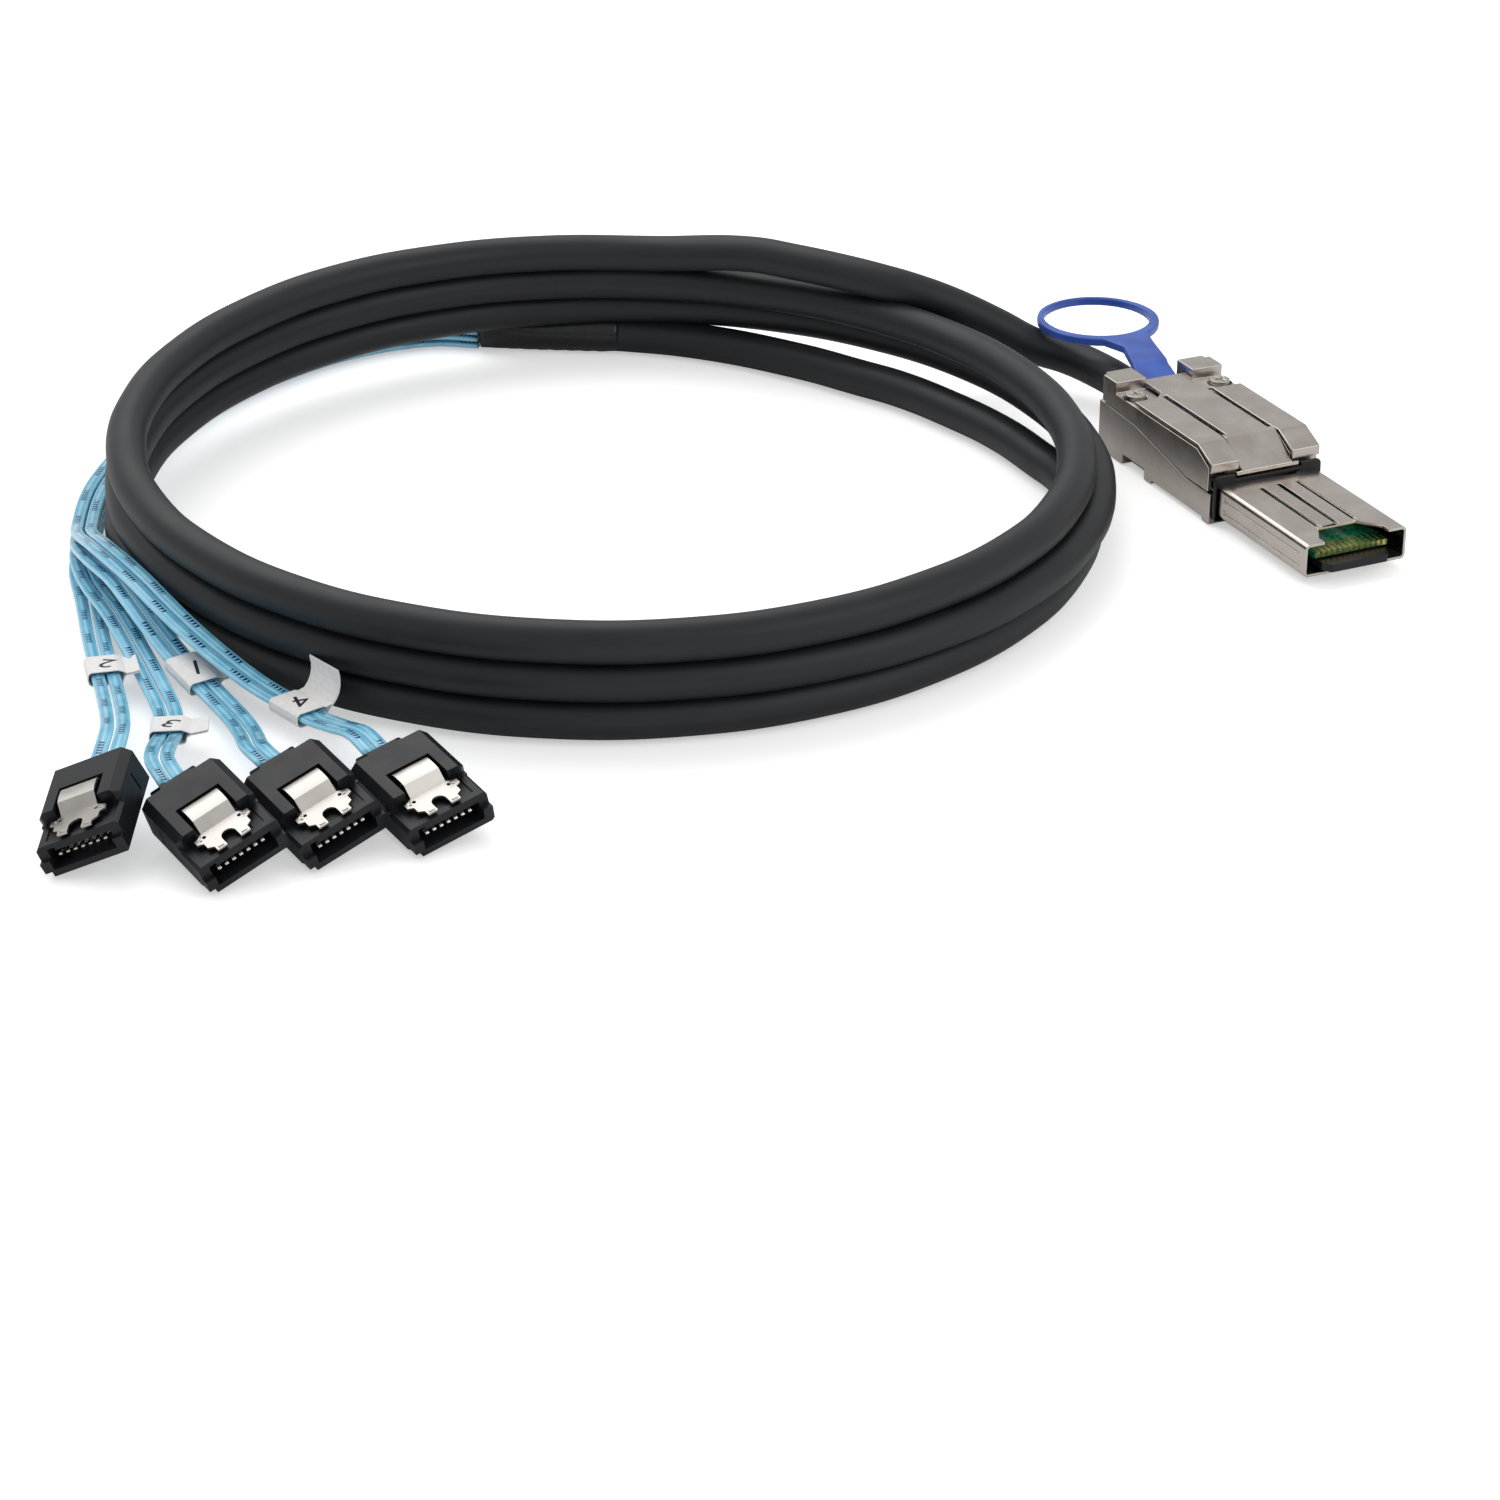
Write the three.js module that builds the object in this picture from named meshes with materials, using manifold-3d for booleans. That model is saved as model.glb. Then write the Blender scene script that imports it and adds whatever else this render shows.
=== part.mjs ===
// Mini SAS breakout cable: one large metal plug, a coiled round cable and four drive plugs on flat ribbons.
// Millimetres, +Z up, everything lies on the surface z = 0.
import * as THREE from 'three';
import { mergeVertices } from 'three/addons/utils/BufferGeometryUtils.js';
import Module from 'manifold-3d';

const wasm = await Module();
wasm.setup();

// Fit between neighbouring pieces
const GAP = 0.3;

// Origin of the part, seen from the middle of the coil
const ORIGIN = { x: 29.66, y: -26.1 };

// Large plug: u runs across, v runs from the front of the shell to its rear
const PLUG = { x: 117.87, y: 8.41, turn: 24.8 };
const SHELL = { width: 22.8, length: 40, wall: 1.6, floor: 1.5 };
const SEAM = { front: 5.9, kneeV: 8.4, middle: 9.35, middleV: 27, rear: 9.9 };
const COVER = { top: 13.7, sheet: 0.6, rearV: 36.5, wideV: 27.5, bendV: 5, lipTop: 11.5, lipBottom: 9.7 };
const TONGUE = { width: 8.6, slot: 1, slotFrontV: 6.5, slotRearV: 28, tipZ: 9.7, barWidth: 13 };
const BLOCK = { between: 9.8, frontV: 34.3, top: 15 };
const SCREW = { edge: 2.4, v: 31.2, head: 3.8, headHeight: 1.3, shank: 2, seatZ: 12, tipZ: 3 };
const NOSE = { width: 20.6, length: 30, bottom: 1.6, top: 7.7, sheet: 0.5, inside: 3.8, groove: 0.9, pressed: 0.25 };
const CARD = { width: 14.8, thickness: 1, bottom: 4.2, frontV: -28.5, rearV: 22 };
const INSULATOR = { width: 13.6, frontV: -31.6, bottom: 2.4, top: 3.9, blockWidth: 18.6, blockFrontV: -2, blockRearV: 5 };
const GASKET = { width: 22, bottom: 0.9, top: 9.4, saddleTop: 8.6, thickness: 1 };
const CHANNEL = { width: 11, floor: 10.6, rearV: 26.7, rearFloor: 11.75, frontFloor: 8.9, frontV: 4.2 };
const SLIDER = { width: 9.2, thickness: 0.85, frontV: 7, rearV: 24.2, postV: 21.7, postLength: 1.4, postWidth: 2.2 };
const TAB = {
  strap: 0.8, thickness: 1.6, ringZ: 13.2, ringU: 2.9, ringV: 66.3, outer: 23.5, inner: 20.4, holeShift: 0.55,
  strapFrontV: 19.6, riseV: 37.4, levelV: 42, neck: 7.4,
};
const FERRULE = { outer: 7.4, inner: 6, frontV: 28.3 };

// Round cable and the shape of its coil
const CABLE = 7;
const CABLE_AT_PLUG_Z = 7;
const COIL = { x: 0.6, y: 3, radius: 85, turns: 3, pitch: 6.9, tilt: 2.42, lift: 3.66 };
const BOOT = { outer: 7.8, end: 6.8 };

// Flat ribbons, two for each drive plug, stacked in pairs
const RIBBON = { width: 2.2, thickness: 1.1, spacing: 2.5, level: 1.4, lowest: 0.9, steps: 13 };

// Drive plugs: a runs across, b runs to the rear, c runs up
const DRIVE = { width: 14, length: 18, frontLength: 6.8, frontHeight: 4.7, rearHeight: 7, bevel: 1.3 };
const MOUTH = { width: 10.6, bottom: 1.1, top: 3.5, depth: 6, key: 1.2, keyTop: 4, topWallSetback: 1 };
const WINDOW = { width: 6.8, rearB: 11.9 };
const LATCH = { sheet: 0.4, plateWidth: 12.4, padWidth: 6, frontB: 1.2, plateRearB: 6.4, padFrontB: 8, padRearB: 11.5 };
const CONTACT = { count: 7, pitch: 1.27, width: 0.6, thickness: 0.35, frontB: 1.6, z: 1.4 };
const RELIEF = { width: 8, bottom: 1, top: 5.4, length: 3.5, corner: 1 };
const LABEL = { length: 8, paper: 0.3, room: 0.5, segments: [10, 11, 10, 11] };

const STEEL = { color: 0xe6e3df, roughness: 0.25, metalness: 1 };
const NICKEL = { color: 0xb3aca6, roughness: 0.35, metalness: 1 };
const JACKET = { color: 0x25282c, roughness: 0.5, metalness: 0 };
const BLACK = { color: 0x26282d, roughness: 0.45, metalness: 0 };
const BLUE = { color: 0x2f4fa8, roughness: 0.4, metalness: 0 };
const SKY = { color: 0x7cc4e8, roughness: 0.35, metalness: 0 };
const GREEN = { color: 0x0f7a55, roughness: 0.4, metalness: 0 };
const BRASS = { color: 0xc9a64e, roughness: 0.3, metalness: 1 };
const PAPER = { color: 0xf4f2f0, roughness: 0.8, metalness: 0 };

// Turns a closed geometry into a solid for cutting and joining
function solid(geometry) {
  const bare = geometry.clone();
  bare.deleteAttribute('normal');
  bare.deleteAttribute('uv');
  const merged = mergeVertices(bare, 1e-5);
  return new wasm.Manifold(new wasm.Mesh({
    numProp: 3,
    vertProperties: new Float32Array(merged.attributes.position.array),
    triVerts: new Uint32Array(merged.index.array),
  }));
}

function geometryOf(body) {
  const mesh = body.getMesh();
  const geometry = new THREE.BufferGeometry();
  geometry.setAttribute('position', new THREE.BufferAttribute(new Float32Array(mesh.vertProperties), 3));
  geometry.setIndex(new THREE.BufferAttribute(new Uint32Array(mesh.triVerts), 1));
  geometry.computeVertexNormals();
  return geometry;
}

function piece(name, body, look) {
  const mesh = new THREE.Mesh(geometryOf(body), new THREE.MeshStandardMaterial(look));
  mesh.name = name;
  return mesh;
}

function box(x0, x1, y0, y1, z0, z1) {
  const geometry = new THREE.BoxGeometry(x1 - x0, y1 - y0, z1 - z0);
  geometry.translate((x0 + x1) / 2, (y0 + y1) / 2, (z0 + z1) / 2);
  return solid(geometry);
}

function outline(points) {
  return new THREE.Shape(points.map(([x, y]) => new THREE.Vector2(x, y)));
}

function extruded(shape, depth, segments = 6) {
  return new THREE.ExtrudeGeometry(shape, { depth, bevelEnabled: false, curveSegments: segments });
}

// A plan view outline, raised from z0 to z1
function fromPlan(shape, z0, z1, segments) {
  return solid(extruded(shape, z1 - z0, segments).translate(0, 0, z0));
}

// A side view outline, its points (y, z), swept across from x0 to x1
function fromSide(points, x0, x1) {
  const geometry = extruded(outline(points), x1 - x0);
  const swap = new THREE.Matrix4().set(0, 0, 1, x0, 1, 0, 0, 0, 0, 1, 0, 0, 0, 0, 0, 1);
  return solid(geometry.applyMatrix4(swap));
}

// A front view outline, its points (x, z), swept back from y0 to y1
function fromFront(shape, y0, y1, segments) {
  const geometry = extruded(shape, y1 - y0, segments);
  return solid(geometry.rotateX(Math.PI / 2).translate(0, y1, 0));
}

function roundedRect(x0, x1, y0, y1, radius) {
  const shape = new THREE.Shape();
  shape.moveTo(x0 + radius, y0);
  shape.lineTo(x1 - radius, y0);
  shape.absarc(x1 - radius, y0 + radius, radius, -Math.PI / 2, 0);
  shape.lineTo(x1, y1 - radius);
  shape.absarc(x1 - radius, y1 - radius, radius, 0, Math.PI / 2);
  shape.lineTo(x0 + radius, y1);
  shape.absarc(x0 + radius, y1 - radius, radius, Math.PI / 2, Math.PI);
  shape.lineTo(x0, y0 + radius);
  shape.absarc(x0 + radius, y0 + radius, radius, Math.PI, 1.5 * Math.PI);
  return shape;
}

function chamferedRect(x0, x1, y0, y1, low, high) {
  return outline([
    [x0 + low, y0], [x1 - low, y0], [x1, y0 + low], [x1, y1 - high],
    [x1 - high, y1], [x0 + high, y1], [x0, y1 - high], [x0, y0 + low],
  ]);
}

function uprightCylinder(x, y, radius, z0, z1, sides = 20) {
  const geometry = new THREE.CylinderGeometry(radius, radius, z1 - z0, sides);
  return solid(geometry.rotateX(Math.PI / 2).translate(x, y, (z0 + z1) / 2));
}

function lyingCylinder(z, radius, y0, y1, sides = 24) {
  const geometry = new THREE.CylinderGeometry(radius, radius, y1 - y0, sides);
  return solid(geometry.translate(0, (y0 + y1) / 2, z));
}

function both(make) {
  return make(-1).add(make(1));
}

function sideBox(side, u0, u1, v0, v1, z0, z1) {
  return side > 0 ? box(u0, u1, v0, v1, z0, z1) : box(-u1, -u0, v0, v1, z0, z1);
}

// Large plug

function seamLine(offset) {
  return [
    [0, SEAM.front + offset], [SEAM.kneeV, SEAM.front + offset],
    [SEAM.middleV, SEAM.middle + offset], [SHELL.length, SEAM.rear + offset],
  ];
}

function screwU() {
  return SHELL.width / 2 - SCREW.edge;
}

function screwHoles(radius, z0, z1) {
  return both((side) => uprightCylinder(side * screwU(), SCREW.v, radius, z0, z1));
}

function nosePocket() {
  const half = NOSE.width / 2 + GAP;
  return box(-half, half, -1, NOSE.inside + 0.5, NOSE.bottom - GAP, NOSE.top + GAP);
}

function roomForCard() {
  const half = SHELL.width / 2 - SHELL.wall;
  const ceiling = CHANNEL.floor - 0.8;
  return box(-half, half, NOSE.inside, CHANNEL.rearV - 0.7, SHELL.floor, ceiling);
}

function cableBore() {
  return lyingCylinder(CABLE_AT_PLUG_Z, FERRULE.outer / 2 + GAP, CHANNEL.rearV - 1, SHELL.length + 1);
}

function lowerShell() {
  const half = SHELL.width / 2;
  const profile = [[0, 0], [SHELL.length, 0], ...seamLine(-GAP / 2).reverse()];
  const sideNotch = (side) => sideBox(side, half - 2.2, half + 1, 23, 31, -1, 2);
  const footNotch = (side) => sideBox(side, half - 3, half + 1, -1, 20.5, -1, 0.7);
  return fromSide(profile, -half, half)
    .subtract(nosePocket()).subtract(roomForCard()).subtract(cableBore())
    .subtract(screwHoles(SCREW.shank / 2 + GAP, SCREW.tipZ - GAP, COVER.top))
    .subtract(both(sideNotch))
    .subtract(both(footNotch).subtract(box(-half, half, -1, 2.4, -1, 1)));
}

function upperShell() {
  const half = SHELL.width / 2;
  const deck = COVER.top - COVER.sheet - GAP;
  const front = COVER.sheet + GAP;
  const seam = seamLine(GAP / 2);
  seam[0][0] = front;
  const profile = [
    ...seam, [SHELL.length, BLOCK.top], [BLOCK.frontV, BLOCK.top], [BLOCK.frontV, deck],
    [COVER.bendV + GAP, deck], [front, COVER.lipTop - COVER.sheet - GAP],
  ];
  const halfChannel = CHANNEL.width / 2;
  const gapBetweenBlocks = BLOCK.between / 2;
  const channel = box(-halfChannel, halfChannel, -1, CHANNEL.rearV, CHANNEL.floor, BLOCK.top + 1)
    .add(box(-halfChannel, halfChannel, -1, CHANNEL.frontV, CHANNEL.frontFloor, BLOCK.top))
    .add(box(-gapBetweenBlocks, gapBetweenBlocks, CHANNEL.rearV - 1, SHELL.length + 1, CHANNEL.rearFloor, BLOCK.top + 1));
  const rearCorner = (side) => sideBox(side, half - 1, half + 1, SHELL.length - 1, SHELL.length + 1, 0, BLOCK.top + 1);
  const seats = screwHoles(SCREW.head / 2 + GAP, SCREW.seatZ, COVER.top + 1);
  return fromSide(profile, -half, half)
    .subtract(channel).subtract(nosePocket()).subtract(roomForCard()).subtract(cableBore())
    .subtract(screwHoles(SCREW.shank / 2 + GAP, 0, COVER.top)).subtract(seats)
    .subtract(both(rearCorner));
}

function coverPlate() {
  const half = SHELL.width / 2 - 0.1;
  const inside = COVER.top - COVER.sheet;
  const plate = fromSide([
    [COVER.rearV, COVER.top], [COVER.bendV, COVER.top], [0, COVER.lipTop], [0, COVER.lipBottom],
    [COVER.sheet, COVER.lipBottom], [COVER.sheet, COVER.lipTop - 0.4], [COVER.bendV + 0.15, inside],
    [COVER.rearV, inside],
  ], -half, half);
  const halfTongue = TONGUE.width / 2;
  const bandEdge = halfTongue + TONGUE.slot + 0.2;
  const rearHalf = BLOCK.between / 2 - GAP;
  const rearNotch = (side) => {
    const edge = [[rearHalf, COVER.rearV + 1], [rearHalf, COVER.wideV + 2], [rearHalf + 2, COVER.wideV],
      [half + 1, COVER.wideV], [half + 1, COVER.rearV + 1]];
    return fromPlan(outline(edge.map(([u, v]) => [side * u, v])), inside - 1, COVER.top + 1);
  };
  const slot = (side) => sideBox(side, halfTongue, halfTongue + TONGUE.slot, TONGUE.slotFrontV, TONGUE.slotRearV,
    inside - 1, COVER.top + 1);
  const mouth = box(-bandEdge, bandEdge, -1, TONGUE.slotFrontV, COVER.lipBottom - 1, COVER.top + 1);
  const tongueTip = fromSide([
    [TONGUE.slotFrontV + 0.5, COVER.top], [COVER.bendV + 0.5, COVER.top], [0.3, TONGUE.tipZ + 0.4],
    [-0.9, TONGUE.tipZ], [-0.9, TONGUE.tipZ - 0.8], [-0.3, TONGUE.tipZ - 0.8], [-0.3, TONGUE.tipZ - 0.4],
    [0.4, TONGUE.tipZ - 0.3], [COVER.bendV + 0.5, inside], [TONGUE.slotFrontV + 0.5, inside],
  ], -halfTongue - TONGUE.slot + 0.1, halfTongue + TONGUE.slot - 0.1);
  const halfBar = TONGUE.barWidth / 2;
  const bar = box(-halfBar, halfBar, -0.9, -0.3, TONGUE.tipZ - 0.8, TONGUE.tipZ - 0.1);
  return plate.subtract(both(rearNotch)).subtract(both(slot)).subtract(mouth).add(tongueTip).add(bar);
}

function screw() {
  const headBottom = SCREW.seatZ + GAP;
  const headTop = headBottom + SCREW.headHeight;
  const cross = box(-1.2, 1.2, -0.25, 0.25, headTop - 0.6, headTop + 1)
    .add(box(-0.25, 0.25, -1.2, 1.2, headTop - 0.6, headTop + 1));
  return uprightCylinder(0, 0, SCREW.head / 2, headBottom, headTop)
    .subtract(cross)
    .add(uprightCylinder(0, 0, SCREW.shank / 2, SCREW.tipZ, headBottom + 0.2, 12));
}

function noseShell() {
  const half = NOSE.width / 2;
  const outside = roundedRect(-half, half, NOSE.bottom, NOSE.top, 0.9);
  const inset = NOSE.sheet;
  const inside = roundedRect(-half + inset, half - inset, NOSE.bottom + inset, NOSE.top - inset, 0.5);
  const tube = fromFront(outside, -NOSE.length, NOSE.inside, 3)
    .subtract(fromFront(inside, -NOSE.length - 1, NOSE.inside + 1, 3));
  const front = -NOSE.length;
  const notch = fromPlan(outline([[-6.4, front - 1], [-6.4, front + 2], [-4.2, front + 5.7], [3.3, front + 5.7],
    [6.6, front + 2], [6.6, front - 1]]),
    NOSE.top - 1, NOSE.top + 1);
  const topGrooves = [-3.8, 0, 3.8].map((u) => box(u - NOSE.groove / 2, u + NOSE.groove / 2, front + 6.5, -4.4,
    NOSE.top - NOSE.pressed, NOSE.top + 1));
  const sideGrooves = [3.5, 5.8].flatMap((z) => [-1, 1].map((side) => sideBox(side, half - NOSE.pressed, half + 1,
    front + 1.8, -3, z - NOSE.groove / 2, z + NOSE.groove / 2)));
  return [...topGrooves, ...sideGrooves].reduce((body, groove) => body.subtract(groove), tube.subtract(notch));
}

function paddleCard() {
  const half = CARD.width / 2;
  return box(-half, half, CARD.frontV, CARD.rearV, CARD.bottom, CARD.bottom + CARD.thickness);
}

function insulatorTongue() {
  const half = INSULATOR.width / 2;
  const halfBlock = INSULATOR.blockWidth / 2;
  const slotHalf = CARD.width / 2 + GAP;
  const tongue = fromPlan(outline([
    [-half + 1.2, INSULATOR.frontV], [half - 1.2, INSULATOR.frontV], [half, INSULATOR.frontV + 1.6], [half, 0],
    [-half, 0], [-half, INSULATOR.frontV + 1.6],
  ]), INSULATOR.bottom, INSULATOR.top);
  const rearBlock = box(-halfBlock, halfBlock, INSULATOR.blockFrontV, INSULATOR.blockRearV,
    INSULATOR.bottom, NOSE.top - NOSE.sheet - GAP);
  const cardSlot = box(-slotHalf, slotHalf, -10, 10, CARD.bottom - GAP, CARD.bottom + CARD.thickness + GAP);
  return tongue.add(rearBlock).subtract(cardSlot);
}

function gasketFrame() {
  const half = GASKET.width / 2;
  const shape = roundedRect(-half, half, GASKET.bottom, GASKET.top, 0.8);
  const opening = NOSE.width / 2 + GAP;
  const saddle = TONGUE.barWidth / 2 + GAP;
  return fromFront(shape, -GASKET.thickness - GAP, -GAP, 3)
    .subtract(box(-opening, opening, -3, 3, NOSE.bottom - GAP, NOSE.top + GAP))
    .subtract(box(-saddle, saddle, -3, 3, GASKET.saddleTop, GASKET.top + 1));
}

function clampFerrule() {
  return lyingCylinder(CABLE_AT_PLUG_Z, FERRULE.outer / 2, FERRULE.frontV, SHELL.length + GAP)
    .subtract(lyingCylinder(CABLE_AT_PLUG_Z, FERRULE.inner / 2, FERRULE.frontV - 1, SHELL.length + 1));
}

function latchSlider() {
  const half = SLIDER.width / 2;
  const bottom = CHANNEL.floor + GAP;
  const top = bottom + SLIDER.thickness;
  const wedgeTop = COVER.top - COVER.sheet - GAP;
  const profile = [
    [SLIDER.frontV, bottom], [SLIDER.rearV, bottom], [SLIDER.rearV, top], [SLIDER.frontV + 5, top],
    [SLIDER.frontV + 2.2, wedgeTop], [SLIDER.frontV + 0.8, wedgeTop], [SLIDER.frontV, top],
  ];
  const halfPost = SLIDER.postWidth / 2;
  const post = box(-halfPost, halfPost, SLIDER.postV - SLIDER.postLength / 2, SLIDER.postV + SLIDER.postLength / 2,
    top - 0.2, wedgeTop);
  return fromSide(profile, -half, half).add(post);
}

function pullTab() {
  const strapBottom = CHANNEL.rearFloor + GAP;
  const strapTop = strapBottom + TAB.strap;
  const ringTop = TAB.ringZ + TAB.thickness;
  const end = TAB.ringV + TAB.outer;
  const profile = [
    [TAB.strapFrontV, strapBottom], [TAB.riseV, strapBottom], [TAB.levelV, TAB.ringZ], [end, TAB.ringZ],
    [end, ringTop], [TAB.levelV, ringTop], [TAB.riseV, strapTop], [TAB.strapFrontV, strapTop],
  ];
  const halfNeck = TAB.neck / 2;
  const neckEnd = TAB.ringV - TAB.outer / 2 + 1.2;
  const plan = outline([
    [-halfNeck, TAB.strapFrontV], [halfNeck, TAB.strapFrontV], [halfNeck, SHELL.length + 1],
    [TAB.ringU + halfNeck - 0.4, neckEnd - 5], [TAB.ringU + halfNeck + 1.6, neckEnd + 1.4],
    [TAB.ringU - halfNeck - 1.6, neckEnd + 1.4], [TAB.ringU - halfNeck + 0.4, neckEnd - 5],
    [-halfNeck, SHELL.length + 1],
  ]);
  const zLow = strapBottom - 1;
  const zHigh = ringTop + 1;
  const ring = uprightCylinder(TAB.ringU, TAB.ringV, TAB.outer / 2, zLow, zHigh, 36);
  const hole = uprightCylinder(TAB.ringU, TAB.ringV + TAB.holeShift, TAB.inner / 2, zLow - 1, zHigh + 1, 36);
  const window = box(-SLIDER.postWidth / 2 - GAP, SLIDER.postWidth / 2 + GAP,
    SLIDER.postV - SLIDER.postLength / 2 - GAP, SLIDER.postV + SLIDER.postLength / 2 + GAP, zLow - 1, zHigh + 1);
  const whole = TAB.ringU + TAB.outer;
  return fromPlan(plan, zLow, zHigh).add(ring).subtract(hole).subtract(window)
    .intersect(fromSide(profile, -whole, whole));
}

function largePlug() {
  const plug = new THREE.Group();
  plug.position.set(PLUG.x, PLUG.y, 0);
  plug.rotation.z = THREE.MathUtils.degToRad(PLUG.turn);
  plug.add(
    piece('lower_shell', lowerShell(), NICKEL), piece('upper_shell', upperShell(), NICKEL),
    piece('cover_plate', coverPlate(), NICKEL), piece('nose_shell', noseShell(), NICKEL),
    piece('paddle_card', paddleCard(), GREEN), piece('insulator_tongue', insulatorTongue(), BLACK),
    piece('gasket_frame', gasketFrame(), BLACK), piece('clamp_ferrule', clampFerrule(), NICKEL),
    piece('latch_slider', latchSlider(), NICKEL), piece('pull_tab', pullTab(), BLUE),
  );
  for (const [name, side] of [['screw_left', -1], ['screw_right', 1]]) {
    const mesh = piece(name, screw(), STEEL);
    mesh.position.set(side * screwU(), SCREW.v, 0);
    mesh.rotation.z = side * 0.4;
    plug.add(mesh);
  }
  return plug;
}

// Drive plugs

function driveHousing() {
  const half = DRIVE.width / 2;
  const rearBody = fromFront(chamferedRect(-half, half, 0, DRIVE.rearHeight, 0.4, DRIVE.bevel),
    DRIVE.frontLength, DRIVE.length);
  const front = fromFront(chamferedRect(-half, half, 0, DRIVE.frontHeight, 0.4, 0.5), 0, DRIVE.frontLength + 1);
  const window = box(-WINDOW.width / 2, WINDOW.width / 2, DRIVE.frontLength - 1, WINDOW.rearB,
    DRIVE.frontHeight, DRIVE.rearHeight + 1);
  const slot = box(-MOUTH.width / 2, MOUTH.width / 2, -1, MOUTH.depth, MOUTH.bottom, MOUTH.top);
  const key = box(-MOUTH.width / 2, -MOUTH.width / 2 + MOUTH.key, -1, MOUTH.depth, MOUTH.bottom, MOUTH.keyTop);
  const topSetback = box(-half - 1, half + 1, -1, MOUTH.topWallSetback, MOUTH.top - 0.8, 9);
  const cornerNotch = box(-half - 1, -half + 1.1, -1, 2.6, -1, 0.9);
  return rearBody.add(front).subtract(window).subtract(slot).subtract(key).subtract(topSetback)
    .subtract(cornerNotch);
}

function driveLatch() {
  const plateBottom = DRIVE.frontHeight + 0.4;
  const plateTop = plateBottom + LATCH.sheet;
  const padTop = DRIVE.rearHeight + 0.3;
  const strip = [
    [LATCH.frontB, plateBottom], [LATCH.plateRearB + 0.3, plateBottom], [LATCH.padFrontB, padTop - LATCH.sheet],
    [LATCH.padRearB, padTop - LATCH.sheet - 0.15], [LATCH.padRearB, padTop - 0.15], [LATCH.padFrontB - 0.3, padTop],
    [LATCH.plateRearB, plateTop], [LATCH.frontB, plateTop],
  ];
  const halfPad = LATCH.padWidth / 2;
  const halfPlate = LATCH.plateWidth / 2;
  const plate = fromPlan(outline([
    [-halfPlate, 2.2], [-halfPlate + 1, LATCH.frontB], [halfPlate - 1, LATCH.frontB], [halfPlate, 2.2],
    [halfPlate, 3.6], [halfPlate + 0.7, 3.9], [halfPlate + 0.7, 5.7], [halfPlate, LATCH.plateRearB],
    [-halfPlate, LATCH.plateRearB], [-halfPlate - 0.7, 5.7], [-halfPlate - 0.7, 3.9], [-halfPlate, 3.6],
  ]), plateBottom, plateTop);
  const uNotch = box(-1.1, 1.1, 0, 3.2, plateBottom - 1, plateTop + 1);
  const dimple = (side) => uprightCylinder(side * 4.7, 5.2, 0.6, plateTop - 0.1, plateTop + 0.25, 10);
  return fromSide(strip, -halfPad, halfPad).add(plate).subtract(uNotch).add(both(dimple));
}

function driveContacts() {
  const span = (CONTACT.count - 1) * CONTACT.pitch / 2;
  const bottom = MOUTH.bottom + GAP;
  const carrier = box(-span - 0.6, span + 0.6, MOUTH.depth - 1.1, MOUTH.depth - GAP, bottom, bottom + 1.2);
  let body = carrier;
  for (let i = 0; i < CONTACT.count; i += 1) {
    const a = -span + i * CONTACT.pitch;
    body = body.add(box(a - CONTACT.width / 2, a + CONTACT.width / 2, CONTACT.frontB, MOUTH.depth - 0.6,
      bottom, bottom + CONTACT.thickness));
  }
  return body;
}

function strainRelief() {
  const half = RELIEF.width / 2;
  const start = DRIVE.length + GAP;
  const block = fromFront(chamferedRect(-half, half, RELIEF.bottom, RELIEF.top, RELIEF.corner / 2, RELIEF.corner),
    start, start + RELIEF.length);
  const groove = (side) => sideBox(side, half - 0.5, half + 1, start + 1.3, start + 2.1, 0, 9);
  return block.subtract(both(groove));
}

// Placed by the middle of the lower front edge: yaw, pitch and lean in degrees
const DRIVE_POSES = [
  { x: -72.0, y: -128.2, yaw: -2, pitch: 8, lean: 24 },
  { x: -48.0, y: -129.3, yaw: 36, pitch: 8, lean: 20 },
  { x: -34.0, y: -122.4, yaw: 36, pitch: 8, lean: 18 },
  { x: -18.6, y: -117.8, yaw: 36, pitch: 8, lean: 12 },
];

function drivePlug(number, pose) {
  const rad = THREE.MathUtils.degToRad;
  const plug = new THREE.Group();
  plug.rotation.order = 'ZXY';
  plug.rotation.set(rad(pose.pitch), -rad(pose.lean), rad(pose.yaw));
  const lift = DRIVE.width / 2 * Math.sin(rad(pose.lean)) * Math.cos(rad(pose.pitch));
  plug.position.set(pose.x, pose.y, lift);
  plug.add(
    piece(`drive_housing_${number}`, driveHousing(), BLACK),
    piece(`drive_latch_${number}`, driveLatch(), STEEL),
    piece(`drive_contacts_${number}`, driveContacts(), BRASS),
    piece(`drive_relief_${number}`, strainRelief(), BLACK),
  );
  plug.updateMatrixWorld(true);
  return plug;
}

// Cable and ribbons

function curveThrough(points) {
  return new THREE.CatmullRomCurve3(points.map((point) => new THREE.Vector3(...point)), false, 'centripetal');
}

function roundSection(radius, sides) {
  return outline(Array.from({ length: sides }, (unused, i) => {
    const angle = 2 * Math.PI * i / sides;
    return [radius * Math.cos(angle), radius * Math.sin(angle)];
  }));
}

function alongPath(section, path, steps) {
  return new THREE.ExtrudeGeometry(section, { steps, extrudePath: path, bevelEnabled: false });
}

function plugPoint(u, v, z) {
  const turn = THREE.MathUtils.degToRad(PLUG.turn);
  return [PLUG.x + u * Math.cos(turn) - v * Math.sin(turn), PLUG.y + u * Math.sin(turn) + v * Math.cos(turn), z];
}

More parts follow.
